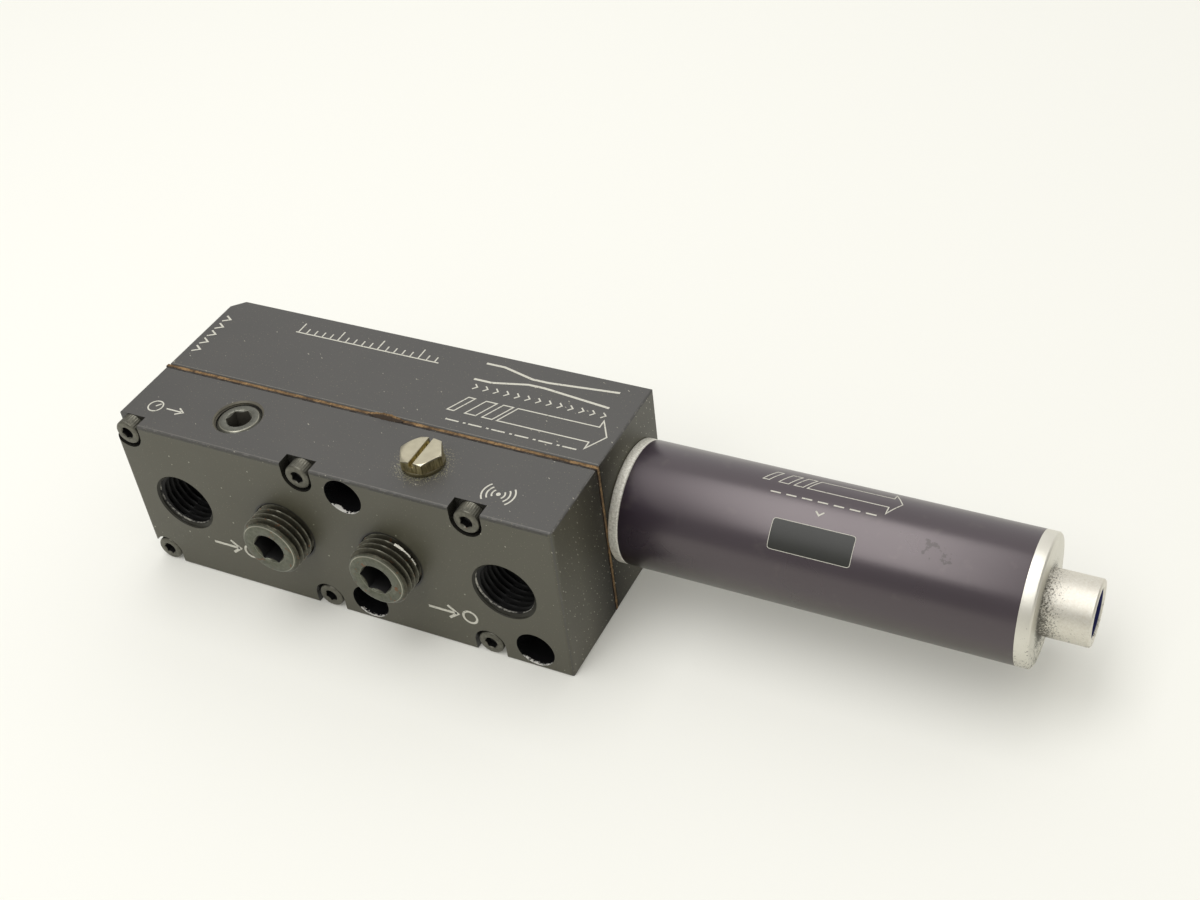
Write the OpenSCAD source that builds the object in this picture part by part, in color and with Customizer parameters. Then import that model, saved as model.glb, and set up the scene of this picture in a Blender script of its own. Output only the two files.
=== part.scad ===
// Vacuum ejector: a venturi block and a four-port manifold block, bolted
// together over a gasket, with a straight-through silencer on the exhaust.
//
// The air flows along +X. +Y runs from the port face to the mounting face and
// +Z is up. The origin is on the underside, midway along the blocks and
// straight below the axis of the venturi. All sizes are in millimetres.

/* [Blocks] */
// Length of both blocks along the air flow
body_l = 101.6; // [99:0.1:130]
// Height of both blocks
body_h = 38.1; // [37:0.1:50]
// Depth of the manifold block, from the port face to the gasket
manifold_d = 19.05; // [17:0.05:26]
// Depth of the venturi block, from the gasket to the mounting face
venturi_d = 24.6; // [23:0.1:36]
// Radius that breaks the outer edges
edge_r = 0.45; // [0.2:0.05:0.8]
// Radius of the two upright edges of the port face
front_edge_r = 0.9; // [0.3:0.05:1.2]
// Chamfer of the upright corner between the supply end and the mounting face
corner_chamfer = 3.1; // [1:0.1:5]

/* [Gasket] */
// Thickness of the gasket
gasket_t = 0.8; // [0.4:0.1:1.6]
// How far the gasket shows past the blocks at the supply end
gasket_proud = 0.4; // [0:0.05:0.8]

/* [Vacuum ports] */
// Distance from the supply end to the first port
port_x = 12.7; // [10:0.1:14]
// Distance from one port to the next
port_pitch = 25.4; // [24.5:0.1:27]
// Outer diameter of the pipe thread of the vacuum and supply ports
port_d = 13.7; // [13.4:0.05:13.8]
// Diameter of the countersink at the mouth of a port
port_mouth_d = 13.96; // [13.9:0.02:15]
// Depth of the gallery that joins the ports
gallery_d = 8.5; // [7.5:0.1:9.5]
// Height of the gallery
gallery_h = 12; // [8:0.1:13]

/* [Port plugs] */
// Length of a port plug
plug_l = 10.7; // [9:0.1:12]
// How far a port plug stands out of the port face
plug_proud = 5.7; // [3:0.1:6.5]
// Diameter of the end face of a port plug
plug_face_d = 12.4; // [10:0.1:13]
// Key size across the flats of the socket in a port plug
plug_key = 6.35; // [5:0.05:8]
// Depth of the socket in a port plug
plug_socket_d = 5; // [3:0.1:7]
// Turn of the socket of the first plug
plug_turn_1 = 4; // [0:1:59]
// Turn of the socket of the second plug
plug_turn_2 = 7; // [0:1:59]

/* [Gauge port] */
// Distance from the supply end to the gauge port
gauge_x = 25.4; // [25:0.1:26]
// Outer diameter of the pipe thread of the gauge port
gauge_d = 10.2; // [9:0.05:10.3]
// Diameter of the countersink at the mouth of the gauge port
gauge_mouth_d = 10.55; // [10.4:0.05:10.8]
// Depth of the threaded part of the gauge port
gauge_thread_d = 10; // [9:0.1:11]
// Diameter of the drilling from the gauge port to the gallery
gauge_drill_d = 8.4; // [4:0.1:8.8]
// Length of the plug in the gauge port
gauge_plug_l = 8; // [6:0.1:8.5]
// Diameter of the end face of that plug
gauge_face_d = 8.4; // [7:0.1:8.8]
// How far the gauge plug lies below the top
gauge_recess = 0.4; // [0:0.05:1]
// Key size across the flats of its socket
gauge_key = 4.76; // [4:0.01:5.5]
// Depth of that socket
gauge_socket_d = 4; // [2.5:0.1:5]

/* [Sensor port] */
// Distance from the supply end to the sensor port
sensor_x = 69.2; // [68:0.1:72]
// Outer diameter of the machine thread of the sensor port
sensor_d = 4.83; // [4:0.01:6]
// Length of the threaded shank of the sensor plug, below its seal
sensor_shank_l = 5; // [3:0.1:7]
// Size of its hexagon head across the flats
sensor_key = 7.94; // [7:0.01:9]
// Height of the hexagon head
sensor_head_h = 2.4; // [2:0.05:4]
// Width of the screwdriver slot
sensor_slot_w = 1.1; // [0.8:0.05:1.6]
// Depth of the screwdriver slot
sensor_slot_d = 1.2; // [0.6:0.05:1.6]
// Diameter of the seal under the head
sensor_seal_d = 8.7; // [7:0.05:9.5]
// Thickness of the seal under the head
sensor_seal_h = 0.9; // [0.5:0.05:1.5]

/* [Block screws] */
// Distance from the supply end to the first pair of screws
screw_x = 3.2; // [3:0.05:4]
// Distance from the first pair to the second
screw_step = 42.05; // [40:0.05:43]
// Distance from the second pair to the third
screw_pitch = 38.05; // [36:0.05:39]
// Distance from the screws to the top or the underside
screw_edge = 2.8; // [2.6:0.05:3.2]
// Diameter of the screw heads
screw_head_d = 5.5; // [5:0.05:6]
// Height of the screw heads
screw_head_h = 2.9; // [2:0.05:3.5]
// Diameter and width of the counterbores
counterbore_d = 6.9; // [6.2:0.05:7.2]
// Depth of the counterbores
counterbore_depth = 3; // [2.2:0.05:4]
// Diameter of the screw shanks
screw_d = 2.9; // [2.5:0.05:3.2]
// Key size across the flats of the screw sockets
screw_key = 2.5; // [2:0.05:2.8]
// Depth of the screw sockets
screw_socket_d = 1.5; // [1:0.05:1.8]
// Length of thread in the venturi block
screw_grip = 8; // [5:0.1:10]

/* [Mounting holes] */
// Diameter of the mounting holes
mount_d = 8.35; // [6:0.05:8.6]
// Distance from the supply end to the two holes above each other
mount_x = 55.55; // [54.5:0.05:57]
// Distance from those to the third hole
mount_pitch = 38.1; // [34:0.1:38.5]
// Distance from the holes to the top or the underside
mount_edge = 4.76; // [4.6:0.02:6]

/* [Venturi] */
// Depth of the supply port, down to the flange of the nozzle
supply_depth = 10.7; // [9:0.1:12]
// Diameter of the flange of the nozzle
nozzle_flange_d = 13; // [12.7:0.1:13.3]
// Thickness of the flange of the nozzle
nozzle_flange_t = 2; // [1.5:0.1:3]
// Diameter of the pocket that centres the nozzle
nozzle_d = 11; // [10.6:0.1:11.4]
// Length of the pocket that centres the nozzle
nozzle_seat_l = 13; // [10:0.1:14]
// Diameter of the inlet of the nozzle
nozzle_inlet_d = 7; // [5:0.1:7.4]
// Diameter of the throat of the nozzle
nozzle_throat_d = 2; // [1:0.05:2.6]
// Diameter of the mouth of the nozzle
nozzle_mouth_d = 2.9; // [2.7:0.05:3.4]
// Outer diameter of the tip of the nozzle
nozzle_tip_d = 5; // [4.6:0.1:6]
// Length of the tip of the nozzle, past its seat
nozzle_tip_l = 13; // [9:0.1:15]
// Wire diameter of the snap ring that holds the nozzle in
snap_t = 1; // [0.6:0.05:1.2]
// Width of the gap in the snap ring
snap_gap_w = 4; // [2:0.1:6]
// Diameter of the suction chamber
chamber_d = 12.4; // [11.6:0.1:13]
// Length of the suction chamber
chamber_l = 18.3; // [16:0.1:20]
// Diameter of the cross drilling from the gallery to the suction chamber
suction_d = 11; // [8:0.1:12]
// Outer diameter of the diffuser
diffuser_d = 14; // [13.6:0.1:15]
// Diameter of the mouth of the diffuser, at the suction chamber
diffuser_mouth_d = 9; // [7:0.1:10]
// Diameter of the throat of the diffuser
diffuser_throat_d = 5.2; // [4:0.1:6.5]
// Diameter of the end of the diffuser, at the exhaust
diffuser_end_d = 8.8; // [7.6:0.1:9.6]
// Section diameter of the O-rings on the nozzle and the diffuser
ring_t = 1.3; // [1:0.05:1.6]
// Outer diameter of the pipe thread of the exhaust port
exhaust_d = 17; // [16:0.05:18]
// Depth of the exhaust port
exhaust_depth = 13.6; // [12.5:0.1:15]

/* [Silencer] */
// Outer diameter of the silencer
silencer_d = 25.5; // [22:0.1:30]
// Thickness of the rim of the inlet cap
inlet_rim_t = 2.2; // [1.5:0.1:4]
// Length of the silencer tube
silencer_tube_l = 77.2; // [50:0.1:110]
// Wall thickness of the silencer tube
silencer_wall = 1.5; // [1:0.1:2]
// Thickness of the rim of the outlet cap
outlet_rim_t = 2.6; // [1.8:0.1:4]
// Chamfer round the face of the outlet cap
outlet_chamfer = 0.65; // [0.2:0.05:1]
// Diameter of the outlet nipple
nipple_d = 12.7; // [12.2:0.05:15]
// Length of the outlet nipple
nipple_l = 9.2; // [6:0.05:20]
// Diameter of the bore through the whole silencer
silencer_bore_d = 9.3; // [7:0.1:9.6]
// Countersink of the bore at the outlet
bore_countersink = 0.7; // [0.3:0.05:0.9]
// Length of the inlet nipple in the exhaust port
inlet_nipple_l = 12; // [9:0.1:12.3]
// How far each cap reaches into the tube
spigot_l = 4; // [3:0.1:7]
// Wall thickness of the perforated liner
liner_wall = 1; // [0.6:0.1:1.3]
// Depth of the recess in each cap that holds the liner
liner_seat = 2; // [1:0.1:2.6]
// Diameter of the holes in the liner
liner_hole_d = 2.5; // [1.5:0.1:3]
// Distance from one ring of those holes to the next
liner_pitch = 8; // [5:0.5:12]

/* [Fits] */
// Clearance round each threaded piece
thread_gap = 0.05; // [0.02:0.01:0.1]
// Clearance round each piece that slides into a bore
slide_gap = 0.03; // [0.02:0.01:0.1]
// Clearance round the shanks in the holes that they only pass through
pass_gap = 0.25; // [0.1:0.05:0.4]

/* [Hidden] */
$fn = 64;
eps = 0.01;

// Planes across the depth, with the venturi axis at y = 0
joint_y = -venturi_d / 2;
manifold_back_y = joint_y - gasket_t;
front_y = manifold_back_y - manifold_d;
axis_z = body_h / 2;

// Centres of the four vacuum ports: the outer two are open
port_xs = [for (i = [0:3]) port_x + i * port_pitch];
port_len = manifold_d - gallery_d;

// Centres [x, z] of the three mounting holes
mount_holes = [
    [mount_x, body_h - mount_edge],
    [mount_x, mount_edge],
    [mount_x + mount_pitch, mount_edge]
];

// Centres [x, z] of the six block screws, top row first
screw_xs = [screw_x, screw_x + screw_step, screw_x + screw_step + screw_pitch];
screw_spots = [
    for (z = [body_h - screw_edge, screw_edge], x = screw_xs) [x, z]
];

// Steps along the stepped bore of the venturi block
seat_x = supply_depth + nozzle_flange_t;
chamber_x = seat_x + nozzle_seat_l;
diffuser_x = chamber_x + chamber_l;
exhaust_x = body_l - exhaust_depth;
diffuser_l = exhaust_x - diffuser_x;
suction_x = chamber_x + chamber_l / 2;

// Groove of the snap ring, cut into the wall of the supply port
snap_groove_d = 0.45;

// Grooves of the O-rings, measured from the end of each piece
ring_w = ring_t + 0.4;
nozzle_ring_x = nozzle_seat_l / 2;
diffuser_ring_xs = [ring_w + 3, diffuser_l - ring_w - 3];

// Stations along the silencer
tube_x = body_l + inlet_rim_t;
outlet_x = tube_x + silencer_tube_l;
silencer_bore_r = silencer_bore_d / 2;
liner_r = silencer_bore_r + liner_wall;
spigot_r = silencer_d / 2 - silencer_wall;

// Puts a shape that is turned about +Z on the venturi axis, with its base at x
module on_axis(x) {
    translate([x - body_l / 2, 0, axis_z])
        rotate([0, 90, 0])
            children();
}

// Puts a shape that runs along +Z on the port face, running inwards
module on_front(x, z) {
    translate([x - body_l / 2, front_y, z])
        rotate([-90, 0, 0])
            children();
}

// Puts a shape that runs along +Z on the top of the manifold, running down
module on_top(x) {
    translate([x - body_l / 2, front_y + manifold_d / 2, body_h])
        rotate([180, 0, 0])
            children();
}

// Puts an upright shape on the top of the manifold, standing along +Z
module above_top(x) {
    translate([x - body_l / 2, front_y + manifold_d / 2, body_h])
        children();
}

// Rectangle with its corners rounded by true arcs: low_r at y = 0, r at y = h
module eased_rect(w, h, r, low_r) {
    translate([low_r, 0])
        square([w - 2 * low_r, h / 2]);
    translate([r, h / 2])
        square([w - 2 * r, h / 2]);
    translate([0, low_r])
        square([w, h - r - low_r]);
    for (x = [low_r, w - low_r])
        translate([x, low_r])
            circle(r = low_r);
    for (x = [r, w - r])
        translate([x, h - r])
            circle(r = r);
}

// Block with all twelve edges eased, from its lowest corner. The two upright
// edges at y = 0 have a radius of their own.
module eased_block(l, d, h, r, upright_r) {
    intersection() {
        linear_extrude(h)
            eased_rect(l, d, r, upright_r);
        translate([0, d, 0])
            rotate([90, 0, 0])
                linear_extrude(d)
                    eased_rect(l, h, r, r);
        rotate([90, 0, 90])
            linear_extrude(l)
                eased_rect(d, h, r, r);
    }
}

// Threaded hole with a countersunk mouth, cut from z = 0 inwards
module port_cut(d, mouth_d, depth) {
    flare = (mouth_d - d) / 2;
    translate([0, 0, -eps])
        cylinder(d = d, h = depth + eps);
    translate([0, 0, -eps])
        cylinder(d1 = mouth_d + 2 * eps, d2 = d, h = flare + eps);
}

// Hexagon prism from its size across the flats, with a corner along +X
module hex_prism(across_flats, h) {
    cylinder(d = across_flats / cos(30), h = h, $fn = 6);
}

// Screw holes and mounting holes that run through from the front plane
module through_holes(d, spots, depth) {
    for (p = spots)
        translate([p[0] - body_l / 2, front_y - 1, p[1]])
            rotate([-90, 0, 0])
                cylinder(d = d, h = depth + 1);
}

// Counterbores of the block screws, each milled out through the nearest long
// edge of the port face
module screw_pockets() {
    through_holes(counterbore_d, screw_spots, counterbore_depth);
    for (p = screw_spots)
        translate([
            p[0] - body_l / 2 - counterbore_d / 2,
            front_y - 1,
            p[1] > axis_z ? p[1] : -1
        ])
            cube([counterbore_d, counterbore_depth + 1, screw_edge + 1]);
}

// Slot with round ends along X, centred on the ports, as a flat outline
module gallery_outline(grow) {
    first = port_xs[0] - body_l / 2;
    last = port_xs[3] - body_l / 2;
    r = gallery_h / 2 + grow;
    translate([first, axis_z - r])
        square([last - first, 2 * r]);
    for (x = [first, last])
        translate([x, axis_z])
            circle(r = r);
}

module gallery_slot(y, depth) {
    translate([0, y + depth, 0])
        rotate([90, 0, 0])
            linear_extrude(depth)
                gallery_outline(0);
}

// Rear block: supply port, nozzle seat, suction chamber, diffuser bore, exhaust
module venturi_block() {
    color("#26262b")
        difference() {
            translate([-body_l / 2, joint_y, 0])
                eased_block(body_l, venturi_d, body_h, edge_r, edge_r);
            translate([-body_l / 2, venturi_d / 2, -1])
                linear_extrude(body_h + 2)
                    polygon([
                        [-1, 1],
                        [-1, -corner_chamfer - 1],
                        [corner_chamfer + 1, 1]
                    ]);
            on_axis(0)
                port_cut(port_d, port_mouth_d, seat_x);
            on_axis(supply_depth - snap_t - slide_gap)
                cylinder(d = port_d + 2 * snap_groove_d, h = snap_t + slide_gap);
            on_axis(seat_x - eps)
                cylinder(d = nozzle_d, h = nozzle_seat_l + 2 * eps);
            on_axis(chamber_x)
                cylinder(d = chamber_d, h = chamber_l + eps);
            on_axis(diffuser_x)
                cylinder(d = diffuser_d, h = diffuser_l + eps);
            on_axis(exhaust_x)
                cylinder(d = exhaust_d, h = exhaust_depth + 1);
            translate([suction_x - body_l / 2, joint_y - 1, axis_z])
                rotate([-90, 0, 0])
                    cylinder(d = suction_d, h = venturi_d / 2 + 1);
            through_holes(mount_d, mount_holes, manifold_d + gasket_t + venturi_d + 1);
            through_holes(
                screw_d + 2 * thread_gap,
                screw_spots,
                manifold_d + gasket_t + screw_grip + 1
            );
        }
}

// Front block: four ports into one gallery, with gauge and sensor ports on top
module manifold_block() {
    color("#303033")
        difference() {
            translate([-body_l / 2, front_y, 0])
                eased_block(body_l, manifold_d, body_h, edge_r, front_edge_r);
            for (x = port_xs)
                on_front(x, axis_z)
                    port_cut(port_d, port_mouth_d, port_len + eps);
            gallery_slot(front_y + port_len, gallery_d + 1);
            on_top(gauge_x) {
                port_cut(gauge_d, gauge_mouth_d, gauge_thread_d);
                cylinder(d = gauge_drill_d, h = axis_z - gallery_h / 2 + 2);
            }
            on_top(sensor_x)
                translate([0, 0, -1])
                    cylinder(d = sensor_d, h = axis_z - gallery_h / 2 + 2.5);
            through_holes(mount_d, mount_holes, manifold_d + 1);
            through_holes(screw_d + 2 * pass_gap, screw_spots, manifold_d + 1);
            screw_pockets();
        }
}

// Sheet gasket with holes for the screws and one window for the suction
module block_gasket() {
    color("#9a7650")
        difference() {
            translate([-body_l / 2 - gasket_proud, manifold_back_y, edge_r / 2])
                cube([body_l + gasket_proud, gasket_t, body_h - edge_r]);
            translate([suction_x - body_l / 2, manifold_back_y - 1, axis_z])
                rotate([-90, 0, 0])
                    cylinder(d = suction_d, h = gasket_t + 2);
            through_holes(mount_d, mount_holes, manifold_d + gasket_t + 1);
            through_holes(
                screw_d + 2 * pass_gap,
                screw_spots,
                manifold_d + gasket_t + 1
            );
        }
}

// Six socket head cap screws, with their heads in the counterbores
module block_screws() {
    shank_l = manifold_d - counterbore_depth + gasket_t + screw_grip;
    ease = 0.3;
    color("#57564d")
        for (spot = screw_spots)
            on_front(spot[0], spot[1])
                translate([0, 0, counterbore_depth])
                    difference() {
                        rotate_extrude()
                            polygon([
                                [0, -screw_head_h],
                                [screw_head_d / 2 - ease, -screw_head_h],
                                [screw_head_d / 2, -screw_head_h + ease],
                                [screw_head_d / 2, 0],
                                [screw_d / 2, 0],
                                [screw_d / 2, shank_l - ease],
                                [screw_d / 2 - ease, shank_l],
                                [0, shank_l]
                            ]);
                        translate([0, 0, -screw_head_h - 1])
                            hex_prism(screw_key, screw_socket_d + 1);
                    }
}

// Pipe plug with a hexagon socket, its end face at z = 0 and its body along +Z
module pipe_plug(d, face_d, l, key, socket_d, turn) {
    r = d / 2 - thread_gap;
    bevel = r - face_d / 2;
    difference() {
        rotate_extrude()
            polygon([
                [0, 0],
                [face_d / 2, 0],
                [r, bevel],
                [r, l - bevel],
                [face_d / 2, l],
                [0, l]
            ]);
        translate([0, 0, -1])
            rotate([0, 0, turn])
                hex_prism(key, socket_d + 1);
    }
}

module port_plug(x, turn) {
    color("#4a4944")
        on_front(x, axis_z)
            translate([0, 0, -plug_proud])
                pipe_plug(port_d, plug_face_d, plug_l, plug_key, plug_socket_d, turn);
}

module gauge_port_plug() {
    color("#4a4944")
        on_top(gauge_x)
            translate([0, 0, gauge_recess])
                pipe_plug(gauge_d, gauge_face_d, gauge_plug_l, gauge_key, gauge_socket_d, 38);
}

// Slotted hexagon plug: a bevelled head on a threaded shank
module sensor_port_plug() {
    corner_r = sensor_key / cos(30) / 2;
    bevel = 0.6;
    color("#cfc9b0")
        translate([0, 0, sensor_seal_h])
            above_top(sensor_x)
                difference() {
                    union() {
                        intersection() {
                            hex_prism(sensor_key, sensor_head_h);
                            rotate_extrude()
                                polygon([
                                    [0, 0],
                                    [corner_r, 0],
                                    [corner_r, sensor_head_h - bevel / 2],
                                    [corner_r - bevel, sensor_head_h],
                                    [0, sensor_head_h]
                                ]);
                        }
                        translate([0, 0, -sensor_shank_l - sensor_seal_h])
                            cylinder(
                                d = sensor_d - 2 * thread_gap,
                                h = sensor_shank_l + sensor_seal_h + eps
                            );
                    }
                    translate([
                        -sensor_slot_w / 2,
                        -corner_r,
                        sensor_head_h - sensor_slot_d
                    ])
                        cube([sensor_slot_w, 2 * corner_r, sensor_slot_d + 1]);
                }
}

// Flat ring that seals the sensor plug
module sensor_plug_seal() {
    color("#1c1c1c")
        above_top(sensor_x)
            difference() {
                cylinder(d = sensor_seal_d, h = sensor_seal_h);
                translate([0, 0, -1])
                    cylinder(d = sensor_d + 2 * slide_gap, h = sensor_seal_h + 2);
            }
}

// Torus that fills the groove between a piece and its bore
module o_ring(bore_d) {
    rotate_extrude()
        translate([bore_d / 2 - ring_t / 2 - slide_gap / 2, 0])
            circle(r = ring_t / 2 - slide_gap / 2, $fn = 32);
}

// Groove for that torus, as a tool to cut the piece with
module ring_groove(bore_d) {
    rotate_extrude()
        translate([bore_d / 2 - ring_t, -ring_w / 2])
            square([ring_t + 1, ring_w]);
}

// Nozzle: a flange on the step of the supply port and a tapering tip, with a
// bore that narrows to a throat and opens again to its mouth
module air_nozzle() {
    body_r = nozzle_d / 2 - slide_gap;
    l = nozzle_flange_t + nozzle_seat_l + nozzle_tip_l;
    taper = 3;
    color("#b9974f")
        on_axis(supply_depth)
            difference() {
                rotate_extrude()
                    polygon([
                        [nozzle_inlet_d / 2 + 0.5, 0],
                        [nozzle_flange_d / 2, 0],
                        [nozzle_flange_d / 2, nozzle_flange_t],
                        [body_r, nozzle_flange_t],
                        [body_r, nozzle_flange_t + nozzle_seat_l],
                        [nozzle_tip_d / 2 + 1, nozzle_flange_t + nozzle_seat_l + taper],
                        [nozzle_tip_d / 2, l],
                        [nozzle_mouth_d / 2, l],
                        [nozzle_throat_d / 2, l - nozzle_tip_l / 2],
                        [nozzle_throat_d / 2, l - nozzle_tip_l / 2 - 1],
                        [nozzle_inlet_d / 2, nozzle_flange_t + nozzle_seat_l - taper],
                        [nozzle_inlet_d / 2, 0.5]
                    ]);
                translate([0, 0, nozzle_flange_t + nozzle_ring_x])
                    ring_groove(nozzle_d);
            }
}

module nozzle_o_ring() {
    color("#1c1c1c")
        on_axis(seat_x + nozzle_ring_x)
            o_ring(nozzle_d);
}

// Open wire ring in a groove of the supply port, against the nozzle flange
module nozzle_snap_ring() {
    r = port_d / 2 + snap_groove_d - snap_t / 2 - slide_gap;
    color("#8a8c8f")
        on_axis(supply_depth - snap_t / 2)
            difference() {
                rotate_extrude()
                    translate([r, 0])
                        circle(r = snap_t / 2, $fn = 32);
                translate([0, -snap_gap_w / 2, -snap_t])
                    cube([port_d, snap_gap_w, 2 * snap_t]);
            }
}

// Diffuser: a mouth that gathers the jet, a straight throat and a long cone
module diffuser_tube() {
    r = diffuser_d / 2 - slide_gap;
    gather = diffuser_l * 0.2;
    throat = diffuser_l * 0.25;
    color("#c3c5c8")
        on_axis(diffuser_x)
            difference() {
                rotate_extrude()
                    polygon([
                        [diffuser_mouth_d / 2, 0],
                        [r - 0.5, 0],
                        [r, 0.5],
                        [r, diffuser_l],
                        [diffuser_end_d / 2, diffuser_l],
                        [diffuser_throat_d / 2, gather + throat],
                        [diffuser_throat_d / 2, gather]
                    ]);
                for (x = diffuser_ring_xs)
                    translate([0, 0, x])
                        ring_groove(diffuser_d);
            }
}

module diffuser_o_ring(i) {
    color("#1c1c1c")
        on_axis(diffuser_x + diffuser_ring_xs[i - 1])
            o_ring(diffuser_d);
}

// Inlet cap: a threaded nipple in the exhaust port, a rim and a spigot
module silencer_inlet_cap() {
    nipple_r = exhaust_d / 2 - thread_gap;
    rim_x = inlet_nipple_l;
    end_x = rim_x + inlet_rim_t + spigot_l;
    color("#c9cac6")
        on_axis(body_l - inlet_nipple_l)
            rotate_extrude()
                polygon([
                    [silencer_bore_r, 0],
                    [nipple_r - 0.8, 0],
                    [nipple_r, 0.8],
                    [nipple_r, rim_x],
                    [silencer_d / 2 - 0.2, rim_x],
                    [silencer_d / 2, rim_x + 0.2],
                    [silencer_d / 2, rim_x + inlet_rim_t - 0.3],
                    [silencer_d / 2 - 0.3, rim_x + inlet_rim_t],
                    [spigot_r - slide_gap, rim_x + inlet_rim_t],
                    [spigot_r - slide_gap, end_x],
                    [liner_r + slide_gap, end_x],
                    [liner_r + slide_gap, end_x - liner_seat],
                    [silencer_bore_r, end_x - liner_seat]
                ]);
}

// Plain tube between the two caps
module silencer_tube() {
    color("#2e2835")
        on_axis(tube_x)
            difference() {
                cylinder(d = silencer_d, h = silencer_tube_l, $fn = 96);
                translate([0, 0, -1])
                    cylinder(r = spigot_r, h = silencer_tube_l + 2, $fn = 96);
            }
}

// Perforated liner: rings of three cross drillings, each ring turned by half
module silencer_liner() {
    l = silencer_tube_l - 2 * (spigot_l - liner_seat);
    rings = floor((l - 2 * liner_seat - liner_hole_d) / liner_pitch);
    start = (l - (rings - 1) * liner_pitch) / 2;
    color("#b8bab8")
        on_axis(tube_x + spigot_l - liner_seat)
            difference() {
                cylinder(r = liner_r, h = l);
                translate([0, 0, -1])
                    cylinder(r = silencer_bore_r, h = l + 2);
                for (i = [0:rings - 1], a = [0:60:120])
                    translate([0, 0, start + i * liner_pitch])
                        rotate([0, 90, a + (i % 2) * 30])
                            cylinder(
                                d = liner_hole_d,
                                h = 2 * liner_r + 2,
                                center = true,
                                $fn = 24
                            );
            }
}

// Sleeve of foam between the liner and the tube
module silencer_packing() {
    color("#2c3a66")
        on_axis(tube_x + spigot_l)
            difference() {
                cylinder(r = spigot_r - slide_gap, h = silencer_tube_l - 2 * spigot_l);
                translate([0, 0, -1])
                    cylinder(r = liner_r + slide_gap, h = silencer_tube_l);
            }
}

// Outlet cap: a spigot and a rim, stepping down to an open nipple
module silencer_outlet_cap() {
    r = silencer_d / 2;
    face_x = spigot_l + outlet_rim_t;
    end_x = face_x + nipple_l;
    color("#c9cac6")
        on_axis(outlet_x - spigot_l)
            rotate_extrude()
                polygon([
                    [silencer_bore_r, liner_seat],
                    [liner_r + slide_gap, liner_seat],
                    [liner_r + slide_gap, 0],
                    [spigot_r - slide_gap, 0],
                    [spigot_r - slide_gap, spigot_l],
                    [r, spigot_l],
                    [r, face_x - outlet_chamfer],
                    [r - outlet_chamfer, face_x],
                    [nipple_d / 2, face_x],
                    [nipple_d / 2, end_x - 0.25],
                    [nipple_d / 2 - 0.25, end_x],
                    [silencer_bore_r + bore_countersink, end_x],
                    [silencer_bore_r, end_x - bore_countersink]
                ]);
}

venturi_block();
manifold_block();
block_gasket();
block_screws();
port_plug(port_xs[1], plug_turn_1);  // port_plug_1
port_plug(port_xs[2], plug_turn_2);  // port_plug_2
gauge_port_plug();
sensor_port_plug();
sensor_plug_seal();
air_nozzle();
nozzle_o_ring();
nozzle_snap_ring();
diffuser_tube();
diffuser_o_ring(1);  // diffuser_o_ring_1
diffuser_o_ring(2);  // diffuser_o_ring_2
silencer_inlet_cap();
silencer_tube();
silencer_liner();
silencer_packing();
silencer_outlet_cap();
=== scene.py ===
"""Looks of the vacuum ejector: two black anodised blocks over a fibre gasket,
steel plugs and screws, and a straight silencer with turned aluminium caps."""
import math

import bpy
import numpy as np
from mathutils import Matrix, Vector


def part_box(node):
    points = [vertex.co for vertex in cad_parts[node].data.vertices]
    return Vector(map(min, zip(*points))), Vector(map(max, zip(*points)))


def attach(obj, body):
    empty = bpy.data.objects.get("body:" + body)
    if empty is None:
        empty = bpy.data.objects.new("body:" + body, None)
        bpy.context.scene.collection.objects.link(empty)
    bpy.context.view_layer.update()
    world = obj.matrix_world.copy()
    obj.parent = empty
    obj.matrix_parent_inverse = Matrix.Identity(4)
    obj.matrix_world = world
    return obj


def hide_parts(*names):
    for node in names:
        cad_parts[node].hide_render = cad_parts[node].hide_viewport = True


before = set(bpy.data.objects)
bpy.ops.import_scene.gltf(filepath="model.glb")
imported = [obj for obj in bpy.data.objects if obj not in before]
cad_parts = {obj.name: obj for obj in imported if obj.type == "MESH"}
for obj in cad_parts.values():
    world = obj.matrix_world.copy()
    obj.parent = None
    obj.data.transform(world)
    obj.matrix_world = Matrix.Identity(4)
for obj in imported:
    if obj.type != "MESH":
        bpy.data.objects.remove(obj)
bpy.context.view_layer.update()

MM = 0.001
TURN = 2 * math.pi


def corners(node):
    """Lowest and highest corner of a node, in millimetres."""
    low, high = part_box(node)
    return np.array(low) / MM, np.array(high) / MM


MANIFOLD_LOW, MANIFOLD_HIGH = corners("manifold_block")
VENTURI_LOW, VENTURI_HIGH = corners("venturi_block")
TUBE_LOW, TUBE_HIGH = corners("silencer_tube")
FRONT_Y = MANIFOLD_LOW[1]
TOP_Z = MANIFOLD_HIGH[2]
LEFT_X = MANIFOLD_LOW[0]
RIGHT_X = MANIFOLD_HIGH[0]
AXIS_Z = (TUBE_LOW[2] + TUBE_HIGH[2]) / 2
MANIFOLD_MID_Y = (MANIFOLD_LOW[1] + MANIFOLD_HIGH[1]) / 2
JOINT_Y = MANIFOLD_HIGH[1]
TUBE_R = (TUBE_HIGH[2] - TUBE_LOW[2]) / 2
RIM_X = TUBE_HIGH[0] + 2.6
NIPPLE_END = corners("silencer_outlet_cap")[1][0]
PLUG_TOP = corners("sensor_port_plug")[1][2]
PLUG_FACE_Y = corners("port_plug_1")[0][1]

# Sizes of the quarter-inch pipe threads on the plugs and in the ports
PIPE_PITCH = 25.4 / 18
SMALL_PIPE_PITCH = 25.4 / 27
PLUG_CREST_R = 6.8
PLUG_TURNS = (4.0, 7.0)

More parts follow.
